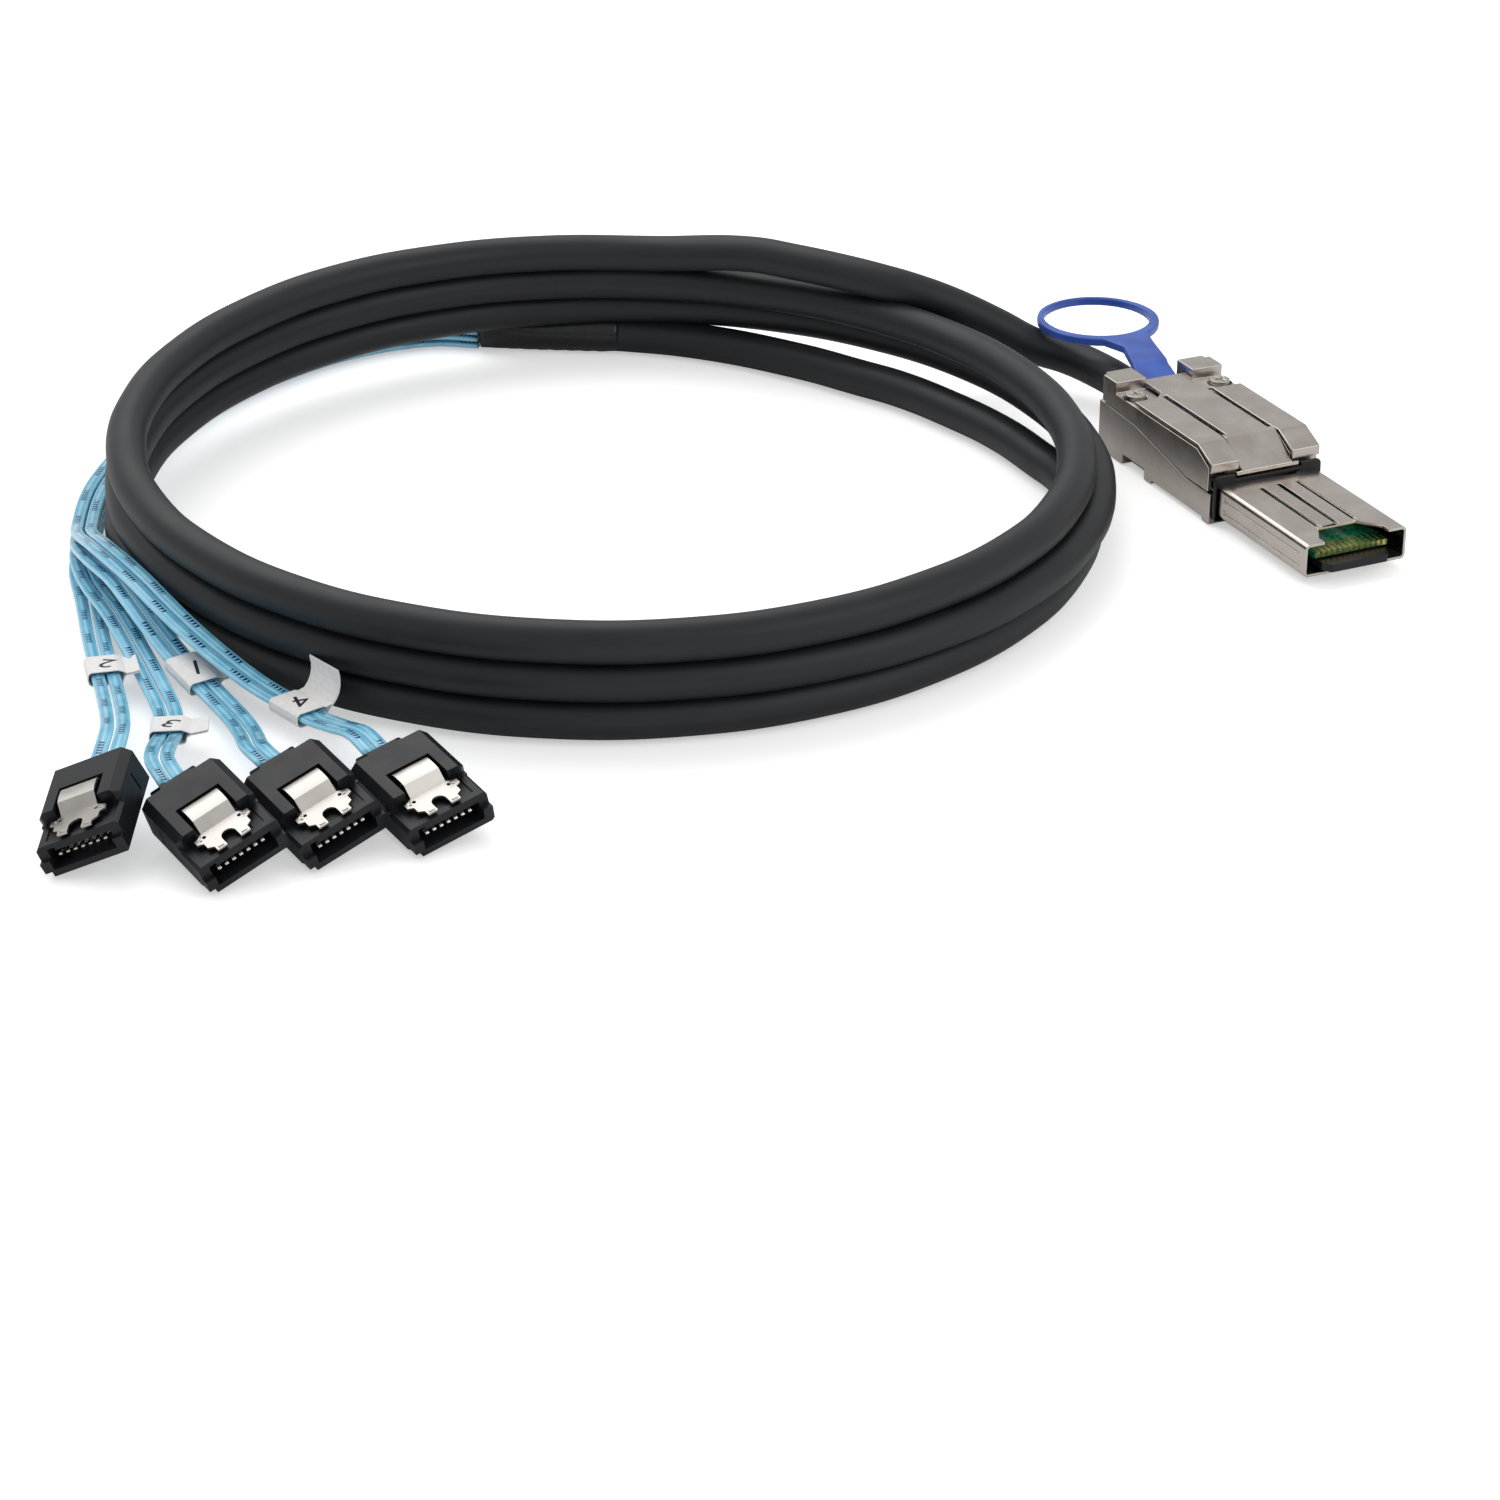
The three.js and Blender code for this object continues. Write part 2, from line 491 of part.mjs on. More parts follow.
const LEAD_ROUTE = [
  plugPoint(0, SHELL.length + 2 * GAP, CABLE_AT_PLUG_Z), plugPoint(0, SHELL.length + 9, CABLE_AT_PLUG_Z),
  [92.6, 61.0, 7.2], [87.0, 66.4, 8.0], [80.5, 69.2, 9.2], [73.0, 70.0, 13.0], [64.0, 68.6, 18.0],
  [57.5, 67.4, 20.6], [51.0, 67.2, 21.4],
];
const TAIL_ROUTE = [
  [84.4, 9.0, 3.5], [82.4, 17.2, 3.5], [78.8, 25.4, 3.5], [72.2, 38.5, 3.5], [63.5, 50.5, 3.5],
  [54.3, 60.8, 3.5], [46.8, 66.8, 3.5], [35.3, 75.6, 3.5], [15.6, 86.4, 3.5], [0.6, 90.35, 3.5],
];
const BOOT_START = [-0.4, 90.5, BOOT.outer / 2];
const BOOT_END = [-28.0, 92.6, BOOT.outer / 2];

function coilRing() {
  const lobe = CABLE / 2;
  const meet = Math.acos(COIL.pitch / CABLE);
  const arc = (turn, from, to) => {
    const steps = 5;
    return Array.from({ length: steps + 1 }, (unused, i) => {
      const angle = from + (to - from) * i / steps;
      return new THREE.Vector2(COIL.radius + lobe * Math.cos(angle), lobe + turn * COIL.pitch + lobe * Math.sin(angle));
    });
  };
  const low = (turn) => (turn === 0 ? -Math.PI / 2 : -Math.PI / 2 + meet);
  const high = (turn) => (turn === COIL.turns - 1 ? Math.PI / 2 : Math.PI / 2 - meet);
  const profile = [];
  for (let turn = 0; turn < COIL.turns; turn += 1) profile.push(...arc(turn, low(turn), high(turn)));
  for (let turn = COIL.turns - 1; turn >= 0; turn -= 1) {
    profile.push(...arc(turn, Math.PI - high(turn), Math.PI - low(turn)));
  }
  profile.push(profile[0].clone());
  const ring = new THREE.LatheGeometry(profile, 40);
  ring.rotateX(Math.PI / 2 + THREE.MathUtils.degToRad(COIL.tilt)).translate(COIL.x, COIL.y, COIL.lift);
  return solid(ring);
}

function cordTube(route, radius, steps) {
  return solid(alongPath(roundSection(radius, 10), curveThrough(route), steps));
}

// The same route with room round it and past its end
function clearanceTube(route, steps) {
  const [last, before] = [route.at(-1), route.at(-2)].map((point) => new THREE.Vector3(...point));
  const onward = last.clone().sub(before).setLength(GAP).add(last);
  return cordTube([...route.slice(0, -1), onward.toArray()], CABLE / 2 + 1.2 * GAP, steps);
}

function lyingSleeve(start, end, profile, sides) {
  const from = new THREE.Vector3(...start);
  const axis = new THREE.Vector3(...end).sub(from);
  const length = axis.length();
  const points = profile.map(([radius, share]) => new THREE.Vector2(radius, share * length));
  const geometry = new THREE.LatheGeometry(points, sides);
  const turn = new THREE.Quaternion().setFromUnitVectors(new THREE.Vector3(0, 1, 0), axis.normalize());
  return solid(geometry.applyQuaternion(turn).translate(from.x, from.y, from.z));
}

function shrinkBoot(room) {
  const radius = BOOT.outer / 2 + room;
  return lyingSleeve(BOOT_START, BOOT_END,
    [[0, 0], [radius - 0.3, 0], [radius, 0.03], [radius, 0.6], [BOOT.end / 2 + room, 1], [0, 1]], 16);
}

// The bundle from the boot round the outside of the coil
const BUNDLE_ROUTE = [
  [-28.4, 92.6], [-37.0, 93.8], [-46.5, 91.0], [-56.5, 84.6], [-66.0, 75.0], [-74.5, 63.6], [-82.5, 48.6],
  [-88.6, 28.0], [-91.8, 8.0], [-91.4, -8.0],
];
// Where each pair leaves the bundle and runs to its drive plug
const BRANCH_ROUTES = [
  [[-90.4, -19.0, 1.2], [-87.2, -32.0, 1.3], [-84.0, -46.0, 1.4], [-81.2, -60.0, 1.5], [-77.0, -76.0, 2.4],
    [-73.6, -89.0, 7.3], [-72.9, -97.0, 9.9]],
  [[-90.2, -18.5, 3.4], [-86.6, -31.0, 4.4], [-80.6, -44.6, 4.8], [-76.6, -54.0, 3.8], [-70.8, -66.0, 1.8],
    [-66.2, -77.0, 1.4], [-63.2, -88.0, 3.2], [-63.4, -98.0, 7.8], [-65.0, -107.6, 9.3]],
  [[-90.0, -18.0, 5.6], [-86.0, -30.0, 8.4], [-79.9, -42.3, 9.9], [-76.8, -48.3, 9.4], [-72.8, -54.8, 7.4],
    [-68.0, -61.6, 4.3], [-61.0, -70.4, 1.4], [-54.8, -79.5, 1.3], [-51.0, -88.0, 2.2], [-50.2, -95.5, 6.2],
    [-50.4, -101.0, 8.7]],
  [[-89.6, -17.6, 7.6], [-85.2, -29.6, 10.8], [-79.0, -41.8, 12.3], [-75.5, -47.3, 12.0], [-71.5, -53.4, 11.2],
    [-66.0, -60.3, 9.4], [-59.5, -66.8, 6.8], [-53.0, -71.8, 4.2], [-47.2, -76.6, 1.8], [-42.8, -84.0, 1.6],
    [-39.2, -90.4, 5.4], [-35.8, -95.2, 8.3]],
];

function pairRoute(index, plug) {
  const level = RIBBON.lowest + index * RIBBON.level;
  const bundle = BUNDLE_ROUTE.map(([x, y]) => new THREE.Vector3(x, y, level));
  const branch = BRANCH_ROUTES[index].map((point) => new THREE.Vector3(...point));
  const exit = new THREE.Vector3(0, DRIVE.length + RELIEF.length + 2 * GAP, (RELIEF.bottom + RELIEF.top) / 2);
  return [...bundle, ...branch, plug.localToWorld(exit)];
}

// One ribbon of a pair: the pair's route moved sideways by half the spacing
function ribbonRoute(route, side) {
  return route.map((point, i) => {
    const before = route[Math.max(i - 1, 0)];
    const after = route[Math.min(i + 1, route.length - 1)];
    const across = new THREE.Vector3(before.y - after.y, after.x - before.x, 0).setLength(RIBBON.spacing / 2);
    return point.clone().addScaledVector(across, side);
  });
}

function ribbon(route) {
  const section = chamferedRect(-RIBBON.thickness / 2, RIBBON.thickness / 2, -RIBBON.width / 2, RIBBON.width / 2,
    0.3, 0.3);
  const curve = new THREE.CatmullRomCurve3(route, false, 'centripetal');
  return solid(alongPath(section, curve, RIBBON.steps));
}

// A paper sleeve round both ribbons of a pair, on one straight stretch of them
function label(route, segment) {
  const curve = new THREE.CatmullRomCurve3(route, false, 'centripetal');
  const [from, to] = [segment, segment + 1].map((step) => curve.getPointAt(step / RIBBON.steps));
  const along = to.clone().sub(from).normalize();
  const across = new THREE.Vector3(along.y, -along.x, 0).normalize();
  const up = across.clone().cross(along);
  const halfWidth = (RIBBON.spacing + RIBBON.width) / 2 + LABEL.room;
  const halfHeight = RIBBON.thickness / 2 + LABEL.room;
  const half = LABEL.length / 2;
  const sleeve = box(-halfWidth - LABEL.paper, halfWidth + LABEL.paper, -half, half,
    -halfHeight - LABEL.paper, halfHeight + LABEL.paper)
    .subtract(box(-halfWidth, halfWidth, -half - 1, half + 1, -halfHeight, halfHeight));
  const mesh = piece('', sleeve, PAPER);
  mesh.applyMatrix4(new THREE.Matrix4().makeBasis(across, along, up).setPosition(from.add(to).multiplyScalar(0.5)));
  return mesh;
}

// Model

const group = new THREE.Group();
group.position.set(-ORIGIN.x, -ORIGIN.y, 0);
group.add(largePlug());

const coil = coilRing()
  .subtract(clearanceTube(LEAD_ROUTE, 14)).subtract(clearanceTube([...TAIL_ROUTE].reverse(), 16))
  .subtract(shrinkBoot(1.2 * GAP));
group.add(
  piece('cable_coil', coil, JACKET),
  piece('cable_lead', cordTube(LEAD_ROUTE, CABLE / 2, 10), JACKET),
  piece('cable_tail', cordTube(TAIL_ROUTE, CABLE / 2, 10), JACKET),
  piece('shrink_boot', shrinkBoot(0), BLACK),
);

DRIVE_POSES.forEach((pose, index) => {
  const number = index + 1;
  const plug = drivePlug(number, pose);
  const route = pairRoute(index, plug);
  group.add(plug);
  for (const [letter, side] of [['a', -1], ['b', 1]]) {
    group.add(piece(`ribbon_${number}${letter}`, ribbon(ribbonRoute(route, side)), SKY));
  }
  const sleeve = label(route, LABEL.segments[index]);
  sleeve.name = `label_${number}`;
  group.add(sleeve);
});

export default group;
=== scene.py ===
# Mini SAS breakout cable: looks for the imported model
import math

import bmesh
import bpy
from mathutils import Matrix, Vector


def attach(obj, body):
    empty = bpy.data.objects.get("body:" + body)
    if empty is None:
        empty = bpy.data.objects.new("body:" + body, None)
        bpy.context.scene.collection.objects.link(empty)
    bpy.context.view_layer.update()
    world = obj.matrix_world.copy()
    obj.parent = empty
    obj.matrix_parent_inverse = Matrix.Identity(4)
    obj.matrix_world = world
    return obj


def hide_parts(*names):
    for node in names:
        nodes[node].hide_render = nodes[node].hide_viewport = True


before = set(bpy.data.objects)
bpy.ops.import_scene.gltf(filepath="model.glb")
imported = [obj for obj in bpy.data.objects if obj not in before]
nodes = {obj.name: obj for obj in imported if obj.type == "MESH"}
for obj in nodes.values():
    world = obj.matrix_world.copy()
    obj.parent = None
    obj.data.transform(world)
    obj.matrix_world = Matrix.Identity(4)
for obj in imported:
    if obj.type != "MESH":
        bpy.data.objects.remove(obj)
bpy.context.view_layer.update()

# Places are in millimetres from the middle of the coil, and origin is the frame's zero seen from there
origin = Vector((29.66, -26.1, 0.0))
driveNumbers = (1, 2, 3, 4)


def place(x, y, z):
    return (Vector((x, y, z)) - origin) / 1000


# Camera, at the photograph's viewing angle
cameraView = {"x": 25.52, "y": -618.45, "z": 271.04, "down": 26.95, "lens": 90.76, "sensor": 36.0,
              "near": 0.01}


def addCamera():
    data = bpy.data.cameras.new("camera")
    data.lens = cameraView["lens"]
    data.sensor_width = cameraView["sensor"]
    data.clip_start = cameraView["near"]
    camera = bpy.data.objects.new("camera", data)
    camera.location = place(cameraView["x"], cameraView["y"], cameraView["z"])
    camera.rotation_euler = (math.radians(90 - cameraView["down"]), 0, 0)
    bpy.context.scene.collection.objects.link(camera)
    bpy.context.scene.camera = camera


addCamera()
print("camera placed")


# Materials

def colour(hexValue):
    channels = [int(hexValue[i:i + 2], 16) / 255 for i in (1, 3, 5)]
    linear = [c / 12.92 if c <= 0.04045 else ((c + 0.055) / 1.055) ** 2.4 for c in channels]
    return (*linear, 1.0)


def addNode(tree, kind, settings=None, links=None):
    node = tree.nodes.new(kind)
    for name, value in (settings or {}).items():
        if name in node.inputs:
            node.inputs[name].default_value = value
        elif name.isdigit():
            node.inputs[int(name)].default_value = value
        else:
            setattr(node, name, value)
    for name, source in (links or {}).items():
        tree.links.new(source, node.inputs[int(name)] if name.isdigit() else node.inputs[name])
    return node


def newMaterial(name, settings):
    material = bpy.data.materials.new(name)
    material.use_nodes = True
    tree = material.node_tree
    shader = tree.nodes["Principled BSDF"]
    for key, value in settings.items():
        shader.inputs[key].default_value = value
    return material, tree, shader


def objectCoords(tree, scale=(1, 1, 1)):
    coords = addNode(tree, "ShaderNodeTexCoord")
    return addNode(tree, "ShaderNodeMapping", {"Scale": scale}, {"Vector": coords.outputs["Object"]})


def rampBetween(tree, source, stops, colours):
    ramp = addNode(tree, "ShaderNodeValToRGB", None, {"Fac": source})
    for element, position, value in zip(ramp.color_ramp.elements, stops, colours):
        element.position = position
        element.color = value
    return ramp.outputs["Color"]


def grey(value):
    return (value, value, value, 1.0)


def noiseOf(tree, coords, sizeMm, detail, roughness=0.5):
    settings = {"Scale": 1000 / sizeMm, "Detail": detail, "Roughness": roughness}
    node = addNode(tree, "ShaderNodeTexNoise", settings, {"Vector": coords.outputs[0]})
    return node.outputs["Fac"]


def cellsOf(tree, coords, sizeMm, feature):
    settings = {"Scale": 1000 / sizeMm, "feature": feature}
    node = addNode(tree, "ShaderNodeTexVoronoi", settings, {"Vector": coords.outputs[0]})
    return node.outputs["Distance"]


def addTone(tree, shader, source, look):
    tones = [colour(hexValue) for hexValue in look["tone"]]
    tree.links.new(rampBetween(tree, source, look["toneStops"], tones), shader.inputs["Base Color"])


def addRoughness(tree, shader, source, look):
    greys = [grey(value) for value in look["rough"]]
    tree.links.new(rampBetween(tree, source, look["roughStops"], greys), shader.inputs["Roughness"])


def addBump(tree, shader, height, strength, depthMm):
    settings = {"Strength": strength, "Distance": depthMm / 1000}
    bump = addNode(tree, "ShaderNodeBump", settings, {"Height": height})
    tree.links.new(bump.outputs["Normal"], shader.inputs["Normal"])


# A value is a number or another node's socket
def addMath(tree, operation, *values):
    node = addNode(tree, "ShaderNodeMath", {"operation": operation})
    for socket, value in zip(node.inputs, values):
        if isinstance(value, (int, float)):
            socket.default_value = value
        else:
            tree.links.new(value, socket)
    return node.outputs[0]


# Extruded PVC jacket: drawn through a die, which leaves a dark charcoal skin with a soft sheen and a matt
# grain. The grain is drawn coarser than real, so that it doesn't vanish at this distance
jacketLook = {"tone": ("#15171a", "#1b1d21"), "toneStops": (0.3, 0.7), "mottleMm": 9.0,
              "rough": (0.46, 0.54), "roughStops": (0.25, 0.75), "grainMm": 0.35, "grainDepth": 0.03}


def extrudedPvc():
    settings = {"Roughness": 0.5, "IOR": 1.53, "Specular IOR Level": 0.4}
    material, tree, shader = newMaterial("extruded_pvc_jacket", settings)
    coords = objectCoords(tree)
    mottle = noiseOf(tree, coords, jacketLook["mottleMm"], 3.0)
    addTone(tree, shader, mottle, jacketLook)
    addRoughness(tree, shader, mottle, jacketLook)
    grain = noiseOf(tree, coords, jacketLook["grainMm"], 2.0)
    addBump(tree, shader, grain, 0.25, jacketLook["grainDepth"])
    return material


# Heat-shrink polyolefin: shrunk tight with hot air, so blacker and glossier than the jacket, in faint rings
shrinkLook = {"base": "#101114", "ringMm": 1.6, "ringDepth": 0.12, "acrossScale": 0.25,
              "rough": (0.25, 0.4), "roughStops": (0.3, 0.7)}


def shrinkPolyolefin():
    settings = {"Roughness": 0.32, "IOR": 1.5, "Base Color": colour(shrinkLook["base"])}
    material, tree, shader = newMaterial("heat_shrink_polyolefin", settings)
    coords = objectCoords(tree, (1.0, shrinkLook["acrossScale"], shrinkLook["acrossScale"]))
    rings = noiseOf(tree, coords, shrinkLook["ringMm"], 2.0)
    addRoughness(tree, shader, rings, shrinkLook)
    addBump(tree, shader, rings, 0.35, shrinkLook["ringDepth"])
    return material


# What the metals share: cloudy handling marks and a fine grain, which is drawn coarser than real
metalLook = {"cloudMm": 6.0, "toneStops": (0.35, 0.7), "roughStops": (0.3, 0.7), "grainMm": 0.12,
             "grainDepth": 0.01}
metals = {
    # Nickel on die-cast zinc: plated over a blasted casting, so a warm grey with a satin shine
    "satin_nickel_plating": {"tone": ("#b9b1aa", "#c8c1ba"), "rough": (0.24, 0.36)},
    # Nickel on folded steel sheet: rolled smooth before plating, so it shines a little sharper
    "nickel_plated_sheet": {"tone": ("#bcb4ad", "#cbc4bd"), "rough": (0.2, 0.3)},
    # Spring steel: stamped, then tumbled, so a neutral grey with blurred highlights
    "polished_spring_steel": {"tone": ("#b5b1ac", "#c9c5c0"), "rough": (0.3, 0.4)},
    # Bright tin on copper: electroplated, so nearly white and the glossiest of the four
    "bright_tin_plating": {"tone": ("#e0ddd8", "#efece8"), "rough": (0.18, 0.28)},
}


def platedMetal(name):
    look = {**metalLook, **metals[name]}
    material, tree, shader = newMaterial(name, {"Metallic": 1.0, "Roughness": look["rough"][0]})
    coords = objectCoords(tree)
    cloud = noiseOf(tree, coords, look["cloudMm"], 5.0, 0.6)
    addTone(tree, shader, cloud, look)
    addRoughness(tree, shader, cloud, look)
    addBump(tree, shader, noiseOf(tree, coords, look["grainMm"], 1.0), 0.18, look["grainDepth"])
    return material


# Moulded TPE pull tab: a saturated royal blue, smooth from the mould with a soft gloss and pale flow clouds
tabLook = {"tone": ("#2c4da6", "#3c66c4"), "toneStops": (0.35, 0.7), "flowMm": 7.0, "grainMm": 0.3,
           "grainDepth": 0.02}


def mouldedTpe():
    settings = {"Roughness": 0.34, "IOR": 1.5, "Subsurface Weight": 0.06, "Subsurface Scale": 0.002}
    material, tree, shader = newMaterial("moulded_tpe", settings)
    coords = objectCoords(tree)
    addTone(tree, shader, noiseOf(tree, coords, tabLook["flowMm"], 2.0), tabLook)
    addBump(tree, shader, noiseOf(tree, coords, tabLook["grainMm"], 2.0), 0.2, tabLook["grainDepth"])
    return material


# Moulded PBT: a near-black glass-filled plastic with the satin texture of a spark-eroded mould, whose pits
# are drawn coarser than real
housingLook = {"tone": ("#111216", "#18191e"), "toneStops": (0.35, 0.7), "cloudMm": 4.0,
               "rough": (0.34, 0.46), "roughStops": (0.3, 0.7), "sparkMm": 0.18, "sparkDepth": 0.02}


def mouldedPbt():
    settings = {"Roughness": 0.4, "IOR": 1.55, "Specular IOR Level": 0.3}
    material, tree, shader = newMaterial("moulded_pbt", settings)
    coords = objectCoords(tree)
    cloud = noiseOf(tree, coords, housingLook["cloudMm"], 4.0)
    addTone(tree, shader, cloud, housingLook)
    addRoughness(tree, shader, cloud, housingLook)
    spark = cellsOf(tree, coords, housingLook["sparkMm"], "F1")
    addBump(tree, shader, spark, 0.2, housingLook["sparkDepth"])
    return material


# FEP film laid over two silvered wires: bright sky blue and glossy, with pale edges where the film is clear
ribbonLook = {"film": ("#a6e2f7", "#5fb6dc"), "filmStops": (0.12, 0.85), "wireBand": -0.28, "cloud": 0.5,
              "cloudsPerMm": 0.35, "wireDepth": 0.12, "ink": "#17406e", "repeatMm": 11.0, "markMm": 4.2,
              "digitMm": 0.8, "digitShare": 0.6, "rowHalf": 0.2}


def fepRibbon():
    look = ribbonLook
    settings = {"Roughness": 0.24, "IOR": 1.34, "Coat Weight": 0.4, "Coat Roughness": 0.12}
    material, tree, shader = newMaterial("fep_ribbon_film", settings)
    uv = addNode(tree, "ShaderNodeUVMap", {"uv_map": "lay"})
    split = addNode(tree, "ShaderNodeSeparateXYZ", None, {"Vector": uv.outputs["UV"]})
    along = split.outputs["X"]
    across = split.outputs["Y"]
    # The two silvered wires show as deeper bands, at a quarter and three quarters of the width
    band = addMath(tree, "COSINE", addMath(tree, "MULTIPLY", across, 4 * math.pi))
    banded = addMath(tree, "MULTIPLY_ADD", band, look["wireBand"], 0.5)
    cloud = addNode(tree, "ShaderNodeTexNoise", {"Scale": look["cloudsPerMm"], "Detail": 3.0,
                                                 "noise_dimensions": "2D"}, {"Vector": uv.outputs["UV"]})
    clouded = addMath(tree, "MULTIPLY_ADD", cloud.outputs["Fac"], look["cloud"], -look["cloud"] / 2)
    film = rampBetween(tree, addMath(tree, "ADD", banded, clouded), look["filmStops"],
                       [colour(hexValue) for hexValue in look["film"]])
    # Printed marks: short dark strokes in groups along the middle
    inGroup = addMath(tree, "LESS_THAN", addMath(tree, "MODULO", along, look["repeatMm"]), look["markMm"])
    inDigit = addMath(tree, "LESS_THAN", addMath(tree, "MODULO", along, look["digitMm"]),
                      look["digitMm"] * look["digitShare"])
    fromMiddle = addMath(tree, "ABSOLUTE", addMath(tree, "SUBTRACT", across, 0.5))
    inRow = addMath(tree, "LESS_THAN", fromMiddle, look["rowHalf"])
    mask = addMath(tree, "MULTIPLY", addMath(tree, "MULTIPLY", inGroup, inDigit), inRow)
    mix = addNode(tree, "ShaderNodeMix", {"data_type": "RGBA"}, {"Factor": mask})
    tree.links.new(film, mix.inputs[6])
    mix.inputs[7].default_value = colour(look["ink"])
    tree.links.new(mix.outputs[2], shader.inputs["Base Color"])
    addBump(tree, shader, band, 0.5, look["wireDepth"])
    return material


# Solder resist cured on a glass-epoxy card: a deep glossy green, paler where copper tracks show through
resistLook = {"tone": ("#1a8a62", "#0c5c40"), "toneStops": (0.05, 0.15), "trackMm": 0.9}


def solderResist():
    material, tree, shader = newMaterial("solder_resist", {"Roughness": 0.25, "IOR": 1.5})
    tracks = cellsOf(tree, objectCoords(tree), resistLook["trackMm"], "DISTANCE_TO_EDGE")
    addTone(tree, shader, tracks, resistLook)
    return material


# Hard gold flash on copper pads: a thin warm yellow plating, slightly scratched by mating
goldLook = {"base": "#c7a552", "scratchMm": 0.5, "stretch": 6.0, "rough": (0.22, 0.42),
            "roughStops": (0.3, 0.7)}


def goldFlash():
    settings = {"Metallic": 1.0, "Roughness": 0.3, "Base Color": colour(goldLook["base"])}
    material, tree, shader = newMaterial("hard_gold_flash", settings)
    coords = objectCoords(tree, (1.0, goldLook["stretch"], 1.0))
    addRoughness(tree, shader, noiseOf(tree, coords, goldLook["scratchMm"], 2.0), goldLook)
    return material


# Coated label paper: calendered white sheet, matt, with the faintest fibre tone
paperLook = {"tone": ("#eeebe9", "#f8f6f5"), "toneStops": (0.3, 0.7), "fibreMm": 0.8, "fibreDepth": 0.02}


def labelPaper():
    material, tree, shader = newMaterial("coated_label_paper", {"Roughness": 0.62, "IOR": 1.45})
    fibre = noiseOf(tree, objectCoords(tree), paperLook["fibreMm"], 4.0)
    addTone(tree, shader, fibre, paperLook)
    addBump(tree, shader, fibre, 0.2, paperLook["fibreDepth"])
    return material


# Thermal ink, melted on from a film: near black, with the slightly uneven face of single dots
inkLook = {"tone": ("#101012", "#1c1c20"), "toneStops": (0.3, 0.7), "dotMm": 0.2}


def printInk():
    material, tree, shader = newMaterial("black_thermal_ink", {"Roughness": 0.5})
    addTone(tree, shader, noiseOf(tree, objectCoords(tree), inkLook["dotMm"], 1.0), inkLook)
    return material


pvc = extrudedPvc()
shrink = shrinkPolyolefin()
nickel = platedMetal("satin_nickel_plating")
sheetNickel = platedMetal("nickel_plated_sheet")
springSteel = platedMetal("polished_spring_steel")
contactTin = platedMetal("bright_tin_plating")
tpe = mouldedTpe()
pbt = mouldedPbt()
fep = fepRibbon()
resist = solderResist()
gold = goldFlash()
paper = labelPaper()
ink = printInk()
print("materials made")


# Pieces

def linkObject(name, data, material):
    thing = bpy.data.objects.new(name, data)
    bpy.context.scene.collection.objects.link(thing)
    thing.data.materials.append(material)
    return thing


# Walls from each ring of corners to the next, and a face over both ends
def joinRings(form, rings):
    for before, after in zip(rings, rings[1:]):
        for i in range(len(before)):
            j = (i + 1) % len(before)
            form.faces.new((before[i], before[j], after[j], after[i]))
    form.faces.new(list(reversed(rings[0])))
    form.faces.new(rings[-1])


def meshFrom(form, name):
    bmesh.ops.recalc_face_normals(form, faces=form.faces)
    mesh = bpy.data.meshes.new(name)
    form.to_mesh(mesh)
    form.free()
    return mesh


def blankFrom(mesh):
    blank = bpy.data.objects.new("blank", mesh)
    bpy.context.scene.collection.objects.link(blank)
    return blank


# Blanks and tools in millimetres: an outline drawn across one axis and pulled along it
axisOrders = {"x": lambda p, q, r: (r, p, q), "y": lambda p, q, r: (p, r, q), "z": lambda p, q, r: (p, q, r)}
past = 1.0  # how far a tool reaches past the face that it cuts, or into the form that it joins


def prism(profile, axis, low, high):
    form = bmesh.new()
    turned = axisOrders[axis]
    joinRings(form, [[form.verts.new(turned(p, q, r)) for p, q in profile] for r in (low, high)])
    return blankFrom(meshFrom(form, "blank"))


def block(x0, x1, y0, y1, z0, z1):
    return prism([(x0, y0), (x1, y0), (x1, y1), (x0, y1)], "z", z0, z1)


def disc(x, y, radius, z0, z1, sides=20):
    turns = [2 * math.pi * i / sides for i in range(sides)]
    return prism([(x + radius * math.cos(t), y + radius * math.sin(t)) for t in turns], "z", z0, z1)


# Front view outline with a small lower and a larger upper chamfer
def chamfered(half, bottom, top, low, high):
    return [(-half + low, bottom), (half - low, bottom), (half, bottom + low), (half, top - high),
            (half - high, top), (-half + high, top), (-half, top - high), (-half, bottom + low)]


# One tool for each side
def mirrored(make):
    return [make(1), make(-1)]


def join(*tools):
    return [("UNION", tool) for tool in tools]


def cut(*tools):
    return [("DIFFERENCE", tool) for tool in tools]


# Joins the tools to a blank or cuts them out of it, and uses them up
def worked(blank, steps):
    for operation, tool in steps:
        modifier = blank.modifiers.new("work", "BOOLEAN")
        modifier.operation = operation
        modifier.solver = "EXACT"
        modifier.object = tool
    bpy.context.view_layer.update()
    graph = bpy.context.evaluated_depsgraph_get()
    mesh = bpy.data.meshes.new_from_object(blank.evaluated_get(graph))
    for thing in [blank] + [tool for operation, tool in steps]:
        bpy.data.objects.remove(thing)
    return mesh


# The nose is one folded sheet: its grooves are slots right through, with a small tab bent up at each front end
nose = {"x": 117.87, "y": 8.41, "turn": 24.8, "slots": (-3.8, 0.0, 3.8), "width": 0.8, "front": -23.5,
        "rear": -4.4, "top": 7.7, "sheet": 0.5, "clear": 0.2, "tab": 0.8, "tabRise": 0.4, "tabRoot": 0.4,
        "tabOverlap": 0.15}


